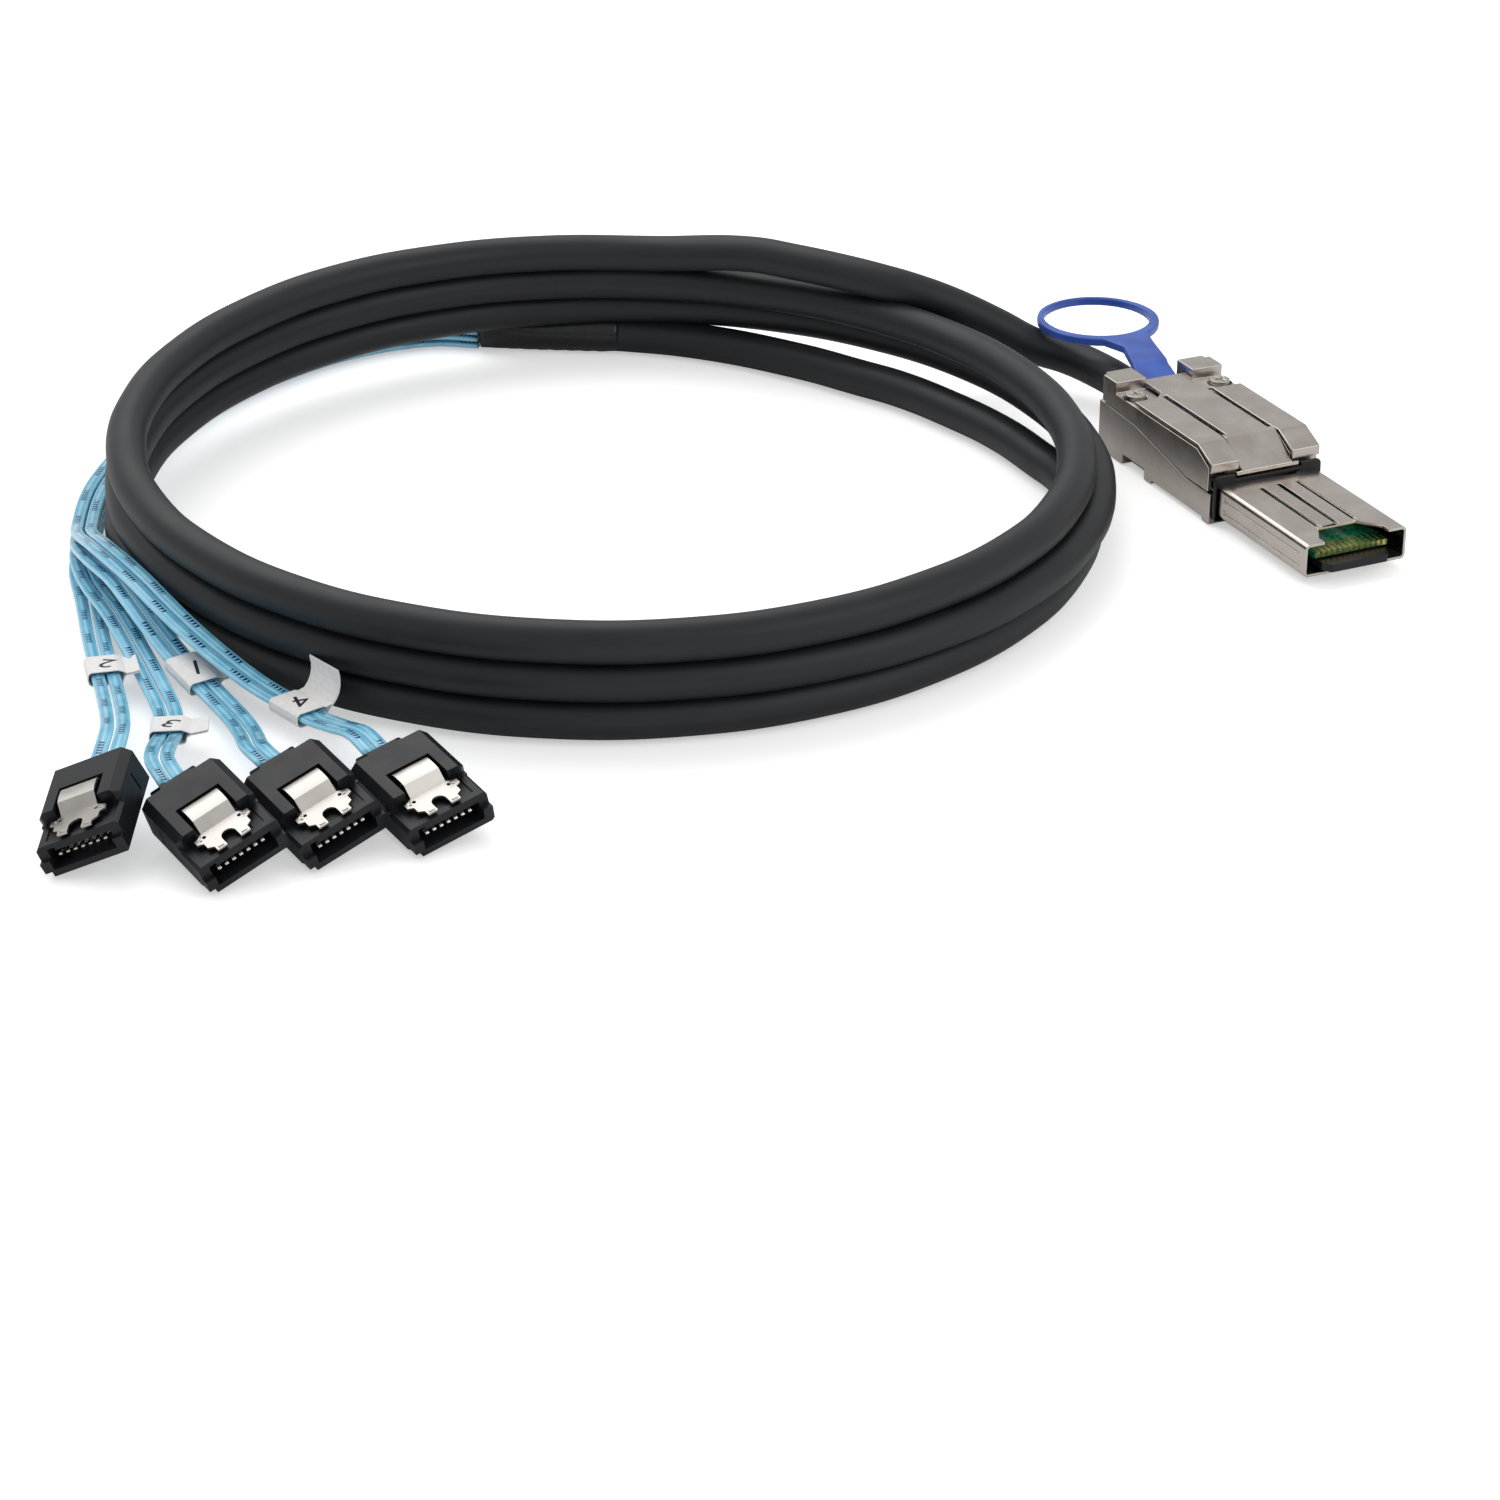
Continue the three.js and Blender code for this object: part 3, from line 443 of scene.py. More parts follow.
def slottedNose(mesh):
    turned = Matrix.Rotation(math.radians(nose["turn"]), 4, "Z") @ Matrix.Scale(0.001, 4)
    seat = Matrix.Translation(place(nose["x"], nose["y"], 0)) @ turned
    mesh.transform(seat.inverted())
    half = nose["width"] / 2
    front = nose["front"]
    top = nose["top"]
    low = top - nose["sheet"] - nose["clear"]
    slots = [block(u - half, u + half, front, nose["rear"], low, top + past) for u in nose["slots"]]
    tabs = [block(u - half, u + half, front - nose["tab"], front + nose["tabOverlap"],
                  top - nose["tabRoot"], top + nose["tabRise"]) for u in nose["slots"]]
    made = worked(blankFrom(mesh), cut(*slots) + join(*tabs))
    made.transform(seat)
    made.materials.clear()
    return made


# Rounds the edges over, then keeps broad faces flat and only the rounding smooth
rounding = {"segments": 2, "bevelDegrees": 25, "sharpDegrees": 50}


def finishEdges(piece, widthMm, clamp=True):
    bevel = piece.modifiers.new("edges", "BEVEL")
    bevel.width = widthMm / 1000
    bevel.segments = rounding["segments"]
    bevel.limit_method = "ANGLE"
    bevel.angle_limit = math.radians(rounding["bevelDegrees"])
    bevel.use_clamp_overlap = clamp
    bpy.context.view_layer.update()
    graph = bpy.context.evaluated_depsgraph_get()
    mesh = bpy.data.meshes.new_from_object(piece.evaluated_get(graph))
    piece.modifiers.clear()
    piece.data = mesh
    for polygon in mesh.polygons:
        polygon.use_smooth = True
    mesh.set_sharp_from_angle(angle=math.radians(rounding["sharpDegrees"]))
    normals = piece.modifiers.new("normals", "WEIGHTED_NORMAL")
    normals.keep_sharp = True


# A solid's own form, its triangles merged into whole faces, with its moulded or folded edges rounded over
merging = {"weld": 1e-6, "flatDegrees": 1.0}


def roundedCopy(nodeName, material, body, edgeMm):
    mesh = nodes[nodeName].data.copy()
    mesh.materials.clear()
    form = bmesh.new()
    form.from_mesh(mesh)
    bmesh.ops.remove_doubles(form, verts=form.verts, dist=merging["weld"])
    bmesh.ops.dissolve_limit(form, angle_limit=math.radians(merging["flatDegrees"]), verts=form.verts,
                             edges=form.edges)
    form.to_mesh(mesh)
    form.free()
    if nodeName == "nose_shell":
        mesh = slottedNose(mesh)
    piece = linkObject(f"{nodeName}_finished", mesh, material)
    finishEdges(piece, edgeMm, clamp=False)
    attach(piece, body)
    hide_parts(nodeName)


# Material, slot, body and edge rounding in millimetres
roundedPieces = {
    "lower_shell": (nickel, "plating", "assembly", 0.22),
    "upper_shell": (nickel, "plating", "assembly", 0.22),
    "cover_plate": (sheetNickel, "plating", "assembly", 0.16),
    "nose_shell": (sheetNickel, "plating", "assembly", 0.07),
    "insulator_tongue": (pbt, "black_plastic", "assembly", 0.15),
    "gasket_frame": (pbt, "black_plastic", "assembly", 0.25),
    "pull_tab": (tpe, "blue_plastic", "release", 0.35),
    "screw_left": (springSteel, "steel", "assembly", 0.18),
    "screw_right": (springSteel, "steel", "assembly", 0.18),
}
for nodeName, (material, slotName, body, edge) in roundedPieces.items():
    roundedCopy(nodeName, material, body, edge)

# These hardly show, so they keep the solid's own form
plainPieces = {"paddle_card": resist, "clamp_ferrule": nickel, "latch_slider": nickel}
for nodeName, material in plainPieces.items():
    nodes[nodeName].data.materials.clear()
    nodes[nodeName].data.materials.append(material)


# Gold pads along the card's front edge, on the top and down over the edge
pads = {"count": 13, "width": 0.62, "length": 3.4, "skin": 0.06, "margin": 0.7}


def makePads():
    card = nodes["paddle_card"].data.vertices
    corners = [Vector(c) for c in {tuple(round(x, 6) for x in v.co) for v in card}]
    top = max(c.z for c in corners)
    bottom = min(c.z for c in corners)
    front = sorted((c for c in corners if c.z > top - 1e-5), key=lambda c: c.y)[:2]
    left, right = sorted(front, key=lambda c: c.x)
    across = (right - left).normalized()
    rear = Vector((-across.y, across.x, 0))
    half = across * pads["width"] / 2000
    skin = pads["skin"] / 1000
    ahead = rear * -skin
    back = rear * pads["length"] / 1000
    high = Vector((0, 0, skin))
    drop = Vector((0, 0, bottom - top + skin))
    section = [ahead + drop, ahead + high, back + high, back - high, -high, drop]
    margin = pads["margin"] / 1000
    width = (right - left).length - 2 * margin
    form = bmesh.new()
    for i in range(pads["count"]):
        middle = left + across * (margin + width * i / (pads["count"] - 1))
        joinRings(form, [[form.verts.new(middle + offset + p) for p in section] for offset in (-half, half)])
    piece = linkObject("card_pads", meshFrom(form, "card_pads"), gold)
    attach(piece, "assembly")


makePads()
print("solids finished")


# Round cable: lead, coil and tail in one run of jacket, in millimetres but for the diameter
cable = {
    "diameter": 0.007,
    "lead": [(100.85, 45.26, 7.0), (97.32, 52.89, 7.0), (92.6, 61.0, 7.2), (87.0, 66.4, 8.0), (80.5, 69.2, 9.2),
             (73.0, 70.0, 13.0), (64.5, 69.2, 17.4), (57.2, 68.9, 20.3), (50.0, 69.7, 22.2), (42.4, 72.2, 23.3),
             (34.4, 75.3, 24.0), (25.8, 78.7, 24.4)],
    "tail": [(82.4, 17.2, 3.5), (78.8, 25.4, 3.5), (72.2, 38.5, 3.5), (63.5, 50.5, 3.5), (54.3, 60.8, 3.5),
             (46.8, 66.8, 3.5), (35.3, 75.6, 3.5), (15.6, 86.4, 3.5), (0.6, 90.35, 3.6), (-4.0, 90.75, 3.7)],
    "coilStart": 85, "coilEnd": 1082, "step": 15,
    "radius": 83.6, "grow": 0.9, "middleX": 0.6, "middleY": 0.6, "drift": 1.6,
    "top": 24.5, "drop": 7.0, "sway": 1.75, "floor": 3.5, "settle": 0.165, "settleAt": 35,
    "weave": 1.6, "weaveAt": 20, "weaveInset": 0.6, "sideSteps": 8, "curveSteps": 10,
}


# The turns widen and sink as they go round, settle onto each other and weave in and out on the right
def coilPoint(angle):
    turns = angle / 360
    rad = math.radians(angle)
    right = max(0.0, math.cos(rad - math.radians(cable["weaveAt"])))
    weave = cable["weave"] * math.cos(math.pi * round(turns)) - cable["weaveInset"]
    radius = cable["radius"] + cable["grow"] * turns + weave * right
    height = cable["top"] - cable["drop"] * turns + cable["sway"] * math.sin(rad)
    settled = 1 - cable["settle"] * max(0.0, math.cos(rad - math.radians(cable["settleAt"])))
    height = cable["floor"] + max(0.0, height - cable["floor"]) * settled
    x = cable["middleX"] + radius * math.cos(rad)
    y = cable["middleY"] + cable["drift"] * turns + radius * math.sin(rad)
    return (x, y, height)


def cableRoute():
    turns = [coilPoint(a) for a in range(cable["coilStart"], cable["coilEnd"], cable["step"])]
    return [place(*p) for p in cable["lead"] + turns + cable["tail"]]


def smoothCurve(name, route, diameter, material):
    data = bpy.data.curves.new(name, "CURVE")
    data.dimensions = "3D"
    data.bevel_depth = diameter / 2
    data.bevel_resolution = cable["sideSteps"]
    data.resolution_u = cable["curveSteps"]
    data.use_fill_caps = True
    spline = data.splines.new("BEZIER")
    spline.bezier_points.add(len(route) - 1)
    for point, target in zip(spline.bezier_points, route):
        point.co = target
        point.handle_left_type = "AUTO"
        point.handle_right_type = "AUTO"
    return linkObject(name, data, material)


# Measured on a copy without its thickness
def curveLength(curve):
    line = curve.data.copy()
    line.bevel_depth = 0
    ruler = bpy.data.objects.new("ruler", line)
    bpy.context.scene.collection.objects.link(ruler)
    bpy.context.view_layer.update()
    points = [v.co.copy() for v in ruler.to_mesh().vertices]
    ruler.to_mesh_clear()
    bpy.data.objects.remove(ruler)
    return sum((b - a).length for a, b in zip(points, points[1:]))


cableCurve = smoothCurve("cable_jacket", cableRoute(), cable["diameter"], pvc)
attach(cableCurve, "assembly")
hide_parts("cable_lead", "cable_coil", "cable_tail")
cableLength = curveLength(cableCurve)
print("cable laid, length", round(cableLength, 3))


# Shrink boot where the jacket ends: round over the jacket, then pressed to a rounded box round the ribbons
boot = {"start": (-0.4, 90.5, 3.9), "end": (-28.0, 92.6, 3.9), "mouth": 3.53, "lipRings": 3, "radius": 3.88,
        "ripple": 0.05, "rippleTurn": 2.1, "flatFrom": 0.55, "flatPower": 1.5, "endHalfWidth": 2.75,
        "endHalfHeight": 3.0, "wall": 0.4, "boxiness": 0.45, "rings": 28, "sides": 36}


def sweep(name, sections, material):
    form = bmesh.new()
    joinRings(form, [[form.verts.new(p) for p in section] for section in sections])
    mesh = meshFrom(form, name)
    for polygon in mesh.polygons:
        polygon.use_smooth = len(polygon.vertices) == 4
    return linkObject(name, mesh, material)


# A sine or cosine to a power, with its sign kept: below 1 it turns a circle into a rounded box
def signedPower(value, power):
    return math.copysign(abs(value) ** power, value)


def bootSections():
    start = place(*boot["start"])
    end = place(*boot["end"])
    along = (end - start).normalized()
    across = Vector((along.y, -along.x, 0))
    sections = []
    for ring in range(boot["rings"] + 1):
        share = ring / boot["rings"]
        flat = max(0.0, (share - boot["flatFrom"]) / (1 - boot["flatFrom"])) ** boot["flatPower"]
        lip = min(1.0, ring / boot["lipRings"]) ** 0.5
        ripple = boot["ripple"] * math.sin(ring * boot["rippleTurn"])
        radius = boot["mouth"] + (boot["radius"] - boot["mouth"] + ripple) * lip
        halfWidth = radius + (boot["endHalfWidth"] + boot["wall"] - radius) * flat
        halfHeight = radius + (boot["endHalfHeight"] + boot["wall"] - radius) * flat
        power = 1.0 - boot["boxiness"] * flat
        centre = start.lerp(end, share)
        section = []
        for i in range(boot["sides"]):
            turn = 2 * math.pi * i / boot["sides"]
            w = signedPower(math.cos(turn), power) * halfWidth / 1000
            h = signedPower(math.sin(turn), power) * halfHeight / 1000
            section.append(centre + across * w + Vector((0, 0, h)))
        sections.append(section)
    return sections


bootPiece = sweep("shrink_boot_sleeve", bootSections(), shrink)
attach(bootPiece, "assembly")
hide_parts("shrink_boot")
print("boot made")


# Drive plugs, in millimetres: x across, y to the rear, z up from the middle of the lower front edge. A pose is
# the place of that point, then yaw, pitch and lean in degrees
drivePlug = {
    "width": 14.0, "length": 18.0, "frontLength": 6.8, "frontHeight": 4.7, "rearHeight": 7.0, "bevel": 1.3,
    "footBevel": 0.4, "frontBevel": 0.5, "edge": 0.18,
    "mouthWidth": 10.6, "mouthBottom": 1.1, "mouthTop": 3.5, "mouthDepth": 6.0, "keyWidth": 1.2, "keyTop": 4.0,
    "setback": 1.6, "setbackSlope": 0.5, "setbackSill": 0.8, "windowWidth": 7.6, "windowRear": 12.3,
    "shoulder": 1.8, "shoulderRun": 1.9,
    "corner": {"width": 1.1, "depth": 2.6, "height": 0.9},
    "recess": {"half": 5.4, "front": 2.6, "rear": 6.9, "depth": 0.25},
    "grip": {"depth": 0.3, "front": 13.2, "rear": 13.7, "bottom": 1.4, "top": 4.6},
    "poses": [(-72.0, -128.2, -2, 8, 24), (-48.0, -129.3, 36, 8, 20), (-34.0, -122.4, 36, 8, 18),
              (-18.6, -117.8, 36, 8, 12)],
}


def plugMatrix(number):
    x, y, yaw, pitch, lean = drivePlug["poses"][number - 1]
    yaw, pitch, lean = (math.radians(a) for a in (yaw, pitch, lean))
    lift = drivePlug["width"] / 2 * math.sin(lean) * math.cos(pitch)
    turned = Matrix.Rotation(yaw, 4, "Z") @ Matrix.Rotation(pitch, 4, "X") @ Matrix.Rotation(-lean, 4, "Y")
    return Matrix.Translation(place(x, y, lift)) @ turned @ Matrix.Scale(0.001, 4)


def housingMesh():
    d = drivePlug
    half = d["width"] / 2
    halfMouth = d["mouthWidth"] / 2
    halfWindow = d["windowWidth"] / 2
    step = d["frontLength"]
    top = d["frontHeight"]
    over = d["rearHeight"] + past
    body = prism(chamfered(half, 0, d["rearHeight"], d["footBevel"], d["bevel"]), "y", step, d["length"])
    front = prism(chamfered(half, 0, top, d["footBevel"], d["frontBevel"]), "y", 0, step + past)
    window = block(-halfWindow, halfWindow, step - past, d["windowRear"], top, over)
    # The rear block steps down to the front in a short slope on each side of the window
    shoulders = mirrored(lambda s: prism([(s * (half - d["shoulder"]), step - past),
                                          (s * (half + past), step - past),
                                          (s * (half + past), step + d["shoulderRun"])], "z", top, over))
    mouth = block(-halfMouth, halfMouth, -past, d["mouthDepth"], d["mouthBottom"], d["mouthTop"])
    key = block(-halfMouth, -halfMouth + d["keyWidth"], -past, d["mouthDepth"], d["mouthBottom"], d["keyTop"])
    sill = d["mouthTop"] - d["setbackSill"]
    setback = prism([(-past, sill), (d["setback"] - d["setbackSlope"], sill), (d["setback"], top + past),
                     (-past, top + past)], "x", -half - past, half + past)
    nick = d["corner"]
    corner = block(-half - past, -half + nick["width"], -past, nick["depth"], -past, nick["height"])
    tray = d["recess"]
    recess = block(-tray["half"], tray["half"], tray["front"], tray["rear"], top - tray["depth"], top + past)
    hold = d["grip"]
    grip = mirrored(lambda s: block(s * (half - hold["depth"]), s * (half + past), hold["front"], hold["rear"],
                                    hold["bottom"], hold["top"]))
    return worked(body, join(front) + cut(window, *shoulders, mouth, key, setback, corner, recess, *grip))


# Folded spring strip: a raised pad, a bend behind a groove, and a toothed front plate
latch = {
    "sheet": 0.4, "lift": 0.4, "padWidth": 6.2, "padFront": 8.3, "padRear": 11.9, "proud": 0.3, "crown": 1.0,
    "droop": 0.5, "bendRun": 0.9, "bendRise": 0.7, "plateWidth": 7.6, "plateRear": 6.6, "plateFront": 3.4,
    "earWidth": 9.4, "earRear": 0.6, "earFront": 1.6, "tabFront": 1.9, "tabWidth": 1.7, "notch": 2.4,
    "hole": {"x": 3.1, "back": 0.9, "radius": 0.32, "sides": 12},
    "mark": {"inset": 0.35, "front": 0.3, "rear": 0.62, "root": 0.1, "rise": 0.14},
    "dimple": {"inset": 0.9, "back": 1.1, "radius": 0.22, "rise": 0.16, "sides": 12},
}


def latchMesh():
    t = latch["sheet"]
    low = drivePlug["frontHeight"] + latch["lift"]
    high = low + t
    pad = drivePlug["rearHeight"] + latch["proud"]
    front, rear = latch["plateFront"], latch["plateRear"]
    padFront, padRear = latch["padFront"], latch["padRear"]
    middle = (padFront + padRear) / 2
    below = [(front, low), (rear + 0.3, low), (rear + latch["bendRun"], low + latch["bendRise"]),
             (padFront + 0.1, pad - t - 0.1), (middle, pad - t), (padRear, pad - t - latch["droop"])]
    above = [(padRear, pad - latch["droop"]), (middle + latch["crown"], pad - 0.08), (middle, pad),
             (middle - latch["crown"], pad), (padFront - 0.2, pad - 0.15), (rear + 0.5, high + 0.5),
             (rear, high), (front, high)]
    strip = prism(below + above, "x", -latch["padWidth"] / 2, latch["padWidth"] / 2)
    halfPlate, halfEar, halfNotch = latch["plateWidth"] / 2, latch["earWidth"] / 2, latch["notch"] / 2
    tab = halfNotch + latch["tabWidth"]
    right = [(halfNotch, latch["tabFront"]), (tab, latch["tabFront"]), (tab, front - 0.5),
             (halfPlate, front), (halfPlate, rear - latch["earFront"] - 0.4),
             (halfEar, rear - latch["earFront"]), (halfEar, rear - latch["earRear"]),
             (halfPlate, rear - 0.4), (halfPlate - 0.4, rear)]
    plate = prism(right + [(-x, y) for x, y in reversed(right)], "z", low, high)
    notch = block(-halfNotch, halfNotch, 0, front, low - past, high + past)
    arch = disc(0, front, halfNotch, low - past, high + past)
    hole, mark, dimple = latch["hole"], latch["mark"], latch["dimple"]
    root = high - mark["root"]
    holes = mirrored(lambda s: disc(s * hole["x"], rear - hole["back"], hole["radius"], low - past,
                                    high + past, hole["sides"]))
    marks = mirrored(lambda s: block(*sorted((s * (halfNotch + mark["inset"]), s * (tab - mark["inset"]))),
                                     latch["tabFront"] + mark["front"], latch["tabFront"] + mark["rear"],
                                     root, high + mark["rise"]))
    dimples = mirrored(lambda s: disc(s * (halfEar - dimple["inset"]), rear - dimple["back"],
                                      dimple["radius"], root, high + dimple["rise"], dimple["sides"]))
    return worked(strip, join(plate) + cut(notch, arch, *holes) + join(*marks, *dimples))


# Overmoulded relief: a collar against the housing and a hump that falls to the ribbons
relief = {
    "width": 8.0, "bottom": 1.0, "top": 5.4, "length": 3.5, "foot": 0.5, "corner": 1.4, "gap": 0.3, "sink": 0.25,
    "collarWidth": 9.8, "collarTop": 6.1, "collarDrop": 0.4, "collarLength": 1.2, "collarCorner": 1.9,
    "slopeRun": 1.4, "slopeDrop": 2.2,
}


def reliefMesh():
    r = relief
    start = drivePlug["length"] + r["gap"] - r["sink"]
    end = drivePlug["length"] + r["gap"] + r["length"]
    collar = prism(chamfered(r["collarWidth"] / 2, r["bottom"] - r["collarDrop"], r["collarTop"], r["foot"],
                             r["collarCorner"]), "y", start, start + r["collarLength"])
    hump = prism(chamfered(r["width"] / 2, r["bottom"], r["top"], r["foot"], r["corner"]), "y", start, end)
    slope = prism([(end - r["slopeRun"], r["top"] + past), (end - r["slopeRun"], r["top"]),
                   (end + past, r["top"] - r["slopeDrop"]), (end + past, r["top"] + past)],
                  "x", -r["width"], r["width"])
    return worked(collar, join(hump) + cut(slope))


# Seven blades on one carrier, each with its tip turned up at the mouth. The bends of a blade's lower side are
# given from its front end and the floor
contacts = {
    "count": 7, "pitch": 1.27, "width": 0.6, "thickness": 0.35, "front": 1.5, "lift": 0.3, "tipBack": 0.1,
    "bends": [(0.0, 0.75), (0.5, 1.15), (1.2, 0.5)], "rearGap": 0.6, "rearLift": 0.2,
    "carrier": {"margin": 0.6, "front": 1.1, "rear": 0.3, "height": 1.2},
}


def contactMesh():
    span = (contacts["count"] - 1) * contacts["pitch"] / 2
    floor = drivePlug["mouthBottom"] + contacts["lift"]
    depth = drivePlug["mouthDepth"]
    bar = contacts["carrier"]
    carrier = block(-span - bar["margin"], span + bar["margin"], depth - bar["front"], depth - bar["rear"],
                    floor, floor + bar["height"])
    below = [(contacts["front"] + y, floor + z) for y, z in contacts["bends"]]
    below.append((depth - contacts["rearGap"], floor + contacts["rearLift"]))
    above = [(y, z + contacts["thickness"]) for y, z in reversed(below)]
    above[-1] = (above[-1][0] - contacts["tipBack"], above[-1][1])
    half = contacts["width"] / 2
    places = [-span + i * contacts["pitch"] for i in range(contacts["count"])]
    return worked(carrier, join(*[prism(below + above, "x", x - half, x + half) for x in places]))


def fitPlugPiece(number, kind, mesh, material, body, edgeMm):
    ready = mesh.copy()
    ready.transform(plugMatrix(number))
    ready.materials.clear()
    piece = linkObject(f"drive_{kind}_{number}_finished", ready, material)
    finishEdges(piece, edgeMm)
    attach(piece, body)
    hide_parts(f"drive_{kind}_{number}")


# Mesh, material, slot and edge rounding in millimetres
plugMeshes = {
    "housing": (housingMesh(), pbt, "black_plastic", drivePlug["edge"]),
    "relief": (reliefMesh(), pbt, "black_plastic", 0.25),
    "contacts": (contactMesh(), contactTin, "contact_gold", 0.05),
    "latch": (latchMesh(), springSteel, "steel", 0.07),
}
for number in driveNumbers:
    for kind, (mesh, material, slotName, edge) in plugMeshes.items():
        body = f"latch_{number}" if kind == "latch" else "assembly"
        fitPlugPiece(number, kind, mesh, material, body, edge)
print("drive plugs made")


# Flat ribbons: the bundle round the outside of the coil, then one branch to each drive plug
ribbon = {
    "width": 2.2, "thickness": 1.1, "spacing": 2.5, "level": 1.4, "lowest": 0.9, "stepMm": 2.0, "into": 0.2,
    "corners": 20, "boxiness": 0.6, "dip": 0.14,
    "bundle": [(-28.4, 92.6), (-37.0, 93.8), (-46.5, 91.0), (-56.5, 84.6), (-66.0, 75.0), (-74.5, 63.6),
               (-82.5, 48.6), (-88.6, 28.0), (-91.8, 8.0), (-91.4, -8.0)],
    "branches": [
        [(-90.4, -19.0, 1.2), (-87.2, -32.0, 1.3), (-84.0, -46.0, 2.0), (-80.6, -60.0, 3.2), (-76.6, -76.0, 5.2),
         (-73.8, -89.0, 7.4), (-72.6, -97.0, 9.0)],
        [(-90.2, -18.5, 3.4), (-86.6, -31.0, 4.4), (-80.6, -44.6, 4.8), (-76.6, -54.0, 4.2), (-71.6, -66.0, 3.2),
         (-67.6, -77.0, 2.8), (-65.8, -88.0, 4.2), (-65.4, -98.0, 6.8), (-64.4, -105.6, 8.4)],
        [(-90.0, -18.0, 5.6), (-86.0, -30.0, 8.4), (-79.9, -42.3, 9.9), (-76.8, -48.3, 9.4), (-72.8, -54.8, 7.6),
         (-68.0, -61.6, 5.2), (-61.6, -70.4, 3.2), (-56.4, -79.5, 3.0), (-53.4, -88.0, 4.4), (-51.8, -95.0, 6.4),
         (-50.4, -100.4, 8.0)],
        [(-89.6, -17.6, 7.6), (-85.2, -29.6, 10.8), (-79.0, -41.8, 12.3), (-75.5, -47.3, 12.0),
         (-71.5, -53.4, 11.2), (-66.0, -60.3, 9.4), (-59.5, -66.8, 7.0), (-53.4, -72.2, 5.0), (-47.6, -77.6, 4.2),
         (-42.8, -83.6, 4.6), (-38.6, -89.6, 6.2), (-35.2, -94.8, 7.8)],
    ],
}


# The ribbons go a little way into the rear face of the strain relief
def reliefExit(number):
    rear = drivePlug["length"] + relief["gap"] + relief["length"] - ribbon["into"]
    return plugMatrix(number) @ Vector((0, rear, (relief["bottom"] + relief["top"]) / 2))


# A centripetal spline through the listed points, which doesn't overshoot where they lie unevenly
def catmullRom(points, stepMm):
    padded = [points[0] * 2 - points[1]] + points + [points[-1] * 2 - points[-2]]
    line = []
    for p0, p1, p2, p3 in zip(padded, padded[1:], padded[2:], padded[3:]):
        gaps = [max((b - a).length, 1e-6) ** 0.5 for a, b in ((p0, p1), (p1, p2), (p2, p3))]
        t1 = gaps[0]
        t2 = t1 + gaps[1]
        t3 = t2 + gaps[2]
        count = max(2, round((p2 - p1).length * 1000 / stepMm))
        for i in range(count):
            t = t1 + (t2 - t1) * i / count
            a1 = p0 * ((t1 - t) / t1) + p1 * (t / t1)
            a2 = p1 * ((t2 - t) / (t2 - t1)) + p2 * ((t - t1) / (t2 - t1))
            a3 = p2 * ((t3 - t) / (t3 - t2)) + p3 * ((t - t2) / (t3 - t2))
            b1 = a1 * ((t2 - t) / t2) + a2 * (t / t2)
            b2 = a2 * ((t3 - t) / (t3 - t1)) + a3 * ((t - t1) / (t3 - t1))
            line.append(b1 * ((t2 - t) / (t2 - t1)) + b2 * ((t - t1) / (t2 - t1)))
    line.append(points[-1].copy())
    return line


def pairRoute(index):
    level = ribbon["lowest"] + index * ribbon["level"]
    points = [place(x, y, level) for x, y in ribbon["bundle"]]
    points += [place(*p) for p in ribbon["branches"][index]]
    return points + [reliefExit(index + 1)]


# The level direction across a route, at one of its points
def sideways(route, i):
    before = route[max(i - 1, 0)]
    after = route[min(i + 1, len(route) - 1)]
    return Vector((before.y - after.y, after.x - before.x, 0)).normalized()


# A flat rounded bar, thinner along its middle and edges than over its two wires
def ribbonSection():
    half = ribbon["width"] / 2
    flat = ribbon["thickness"] / 2
    points = []
    for step in range(ribbon["corners"]):
        angle = 2 * math.pi * step / ribbon["corners"]
        w = signedPower(math.cos(angle), ribbon["boxiness"]) * half
        crown = 1 - ribbon["dip"] * math.cos(math.pi * abs(w) / half) ** 2
        h = signedPower(math.sin(angle), ribbon["boxiness"]) * flat * crown
        points.append((w / 1000, h / 1000))
    return points


def layRibbon(number, letter, side):
    route = catmullRom(pairRoute(number - 1), ribbon["stepMm"])
    line = [p + sideways(route, i) * side * ribbon["spacing"] / 2000 for i, p in enumerate(route)]
    profile = ribbonSection()
    sections = []
    for i, p in enumerate(line):
        across = sideways(route, i)
        forward = (line[min(i + 1, len(line) - 1)] - line[max(i - 1, 0)]).normalized()
        up = across.cross(forward).normalized()
        if up.z < 0:
            up = -up
        sections.append([p + across * w + up * h for w, h in profile])
    piece = sweep(f"ribbon_{number}{letter}_film", sections, fep)
    run = [0.0]
    for a, b in zip(line, line[1:]):
        run.append(run[-1] + (b - a).length * 1000)
    layUv(piece, profile, run)
    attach(piece, "assembly")
    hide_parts(f"ribbon_{number}{letter}")
    return run[-1]


# Millimetres along the ribbon and the share of its width, for the print
def layUv(piece, profile, run):
    layer = piece.data.uv_layers.new(name="lay")
    width = ribbon["width"] / 1000
    for loop in piece.data.loops:
        ring, spot = divmod(loop.vertex_index, len(profile))
        layer.data[loop.index].uv = (run[min(ring, len(run) - 1)], 0.5 + profile[spot][0] / width)


ribbonLengths = []
for number in driveNumbers:
    for letter, side in (("a", -1), ("b", 1)):
        ribbonLengths.append(layRibbon(number, letter, side))
print("ribbons laid, mm:", [round(x) for x in ribbonLengths])


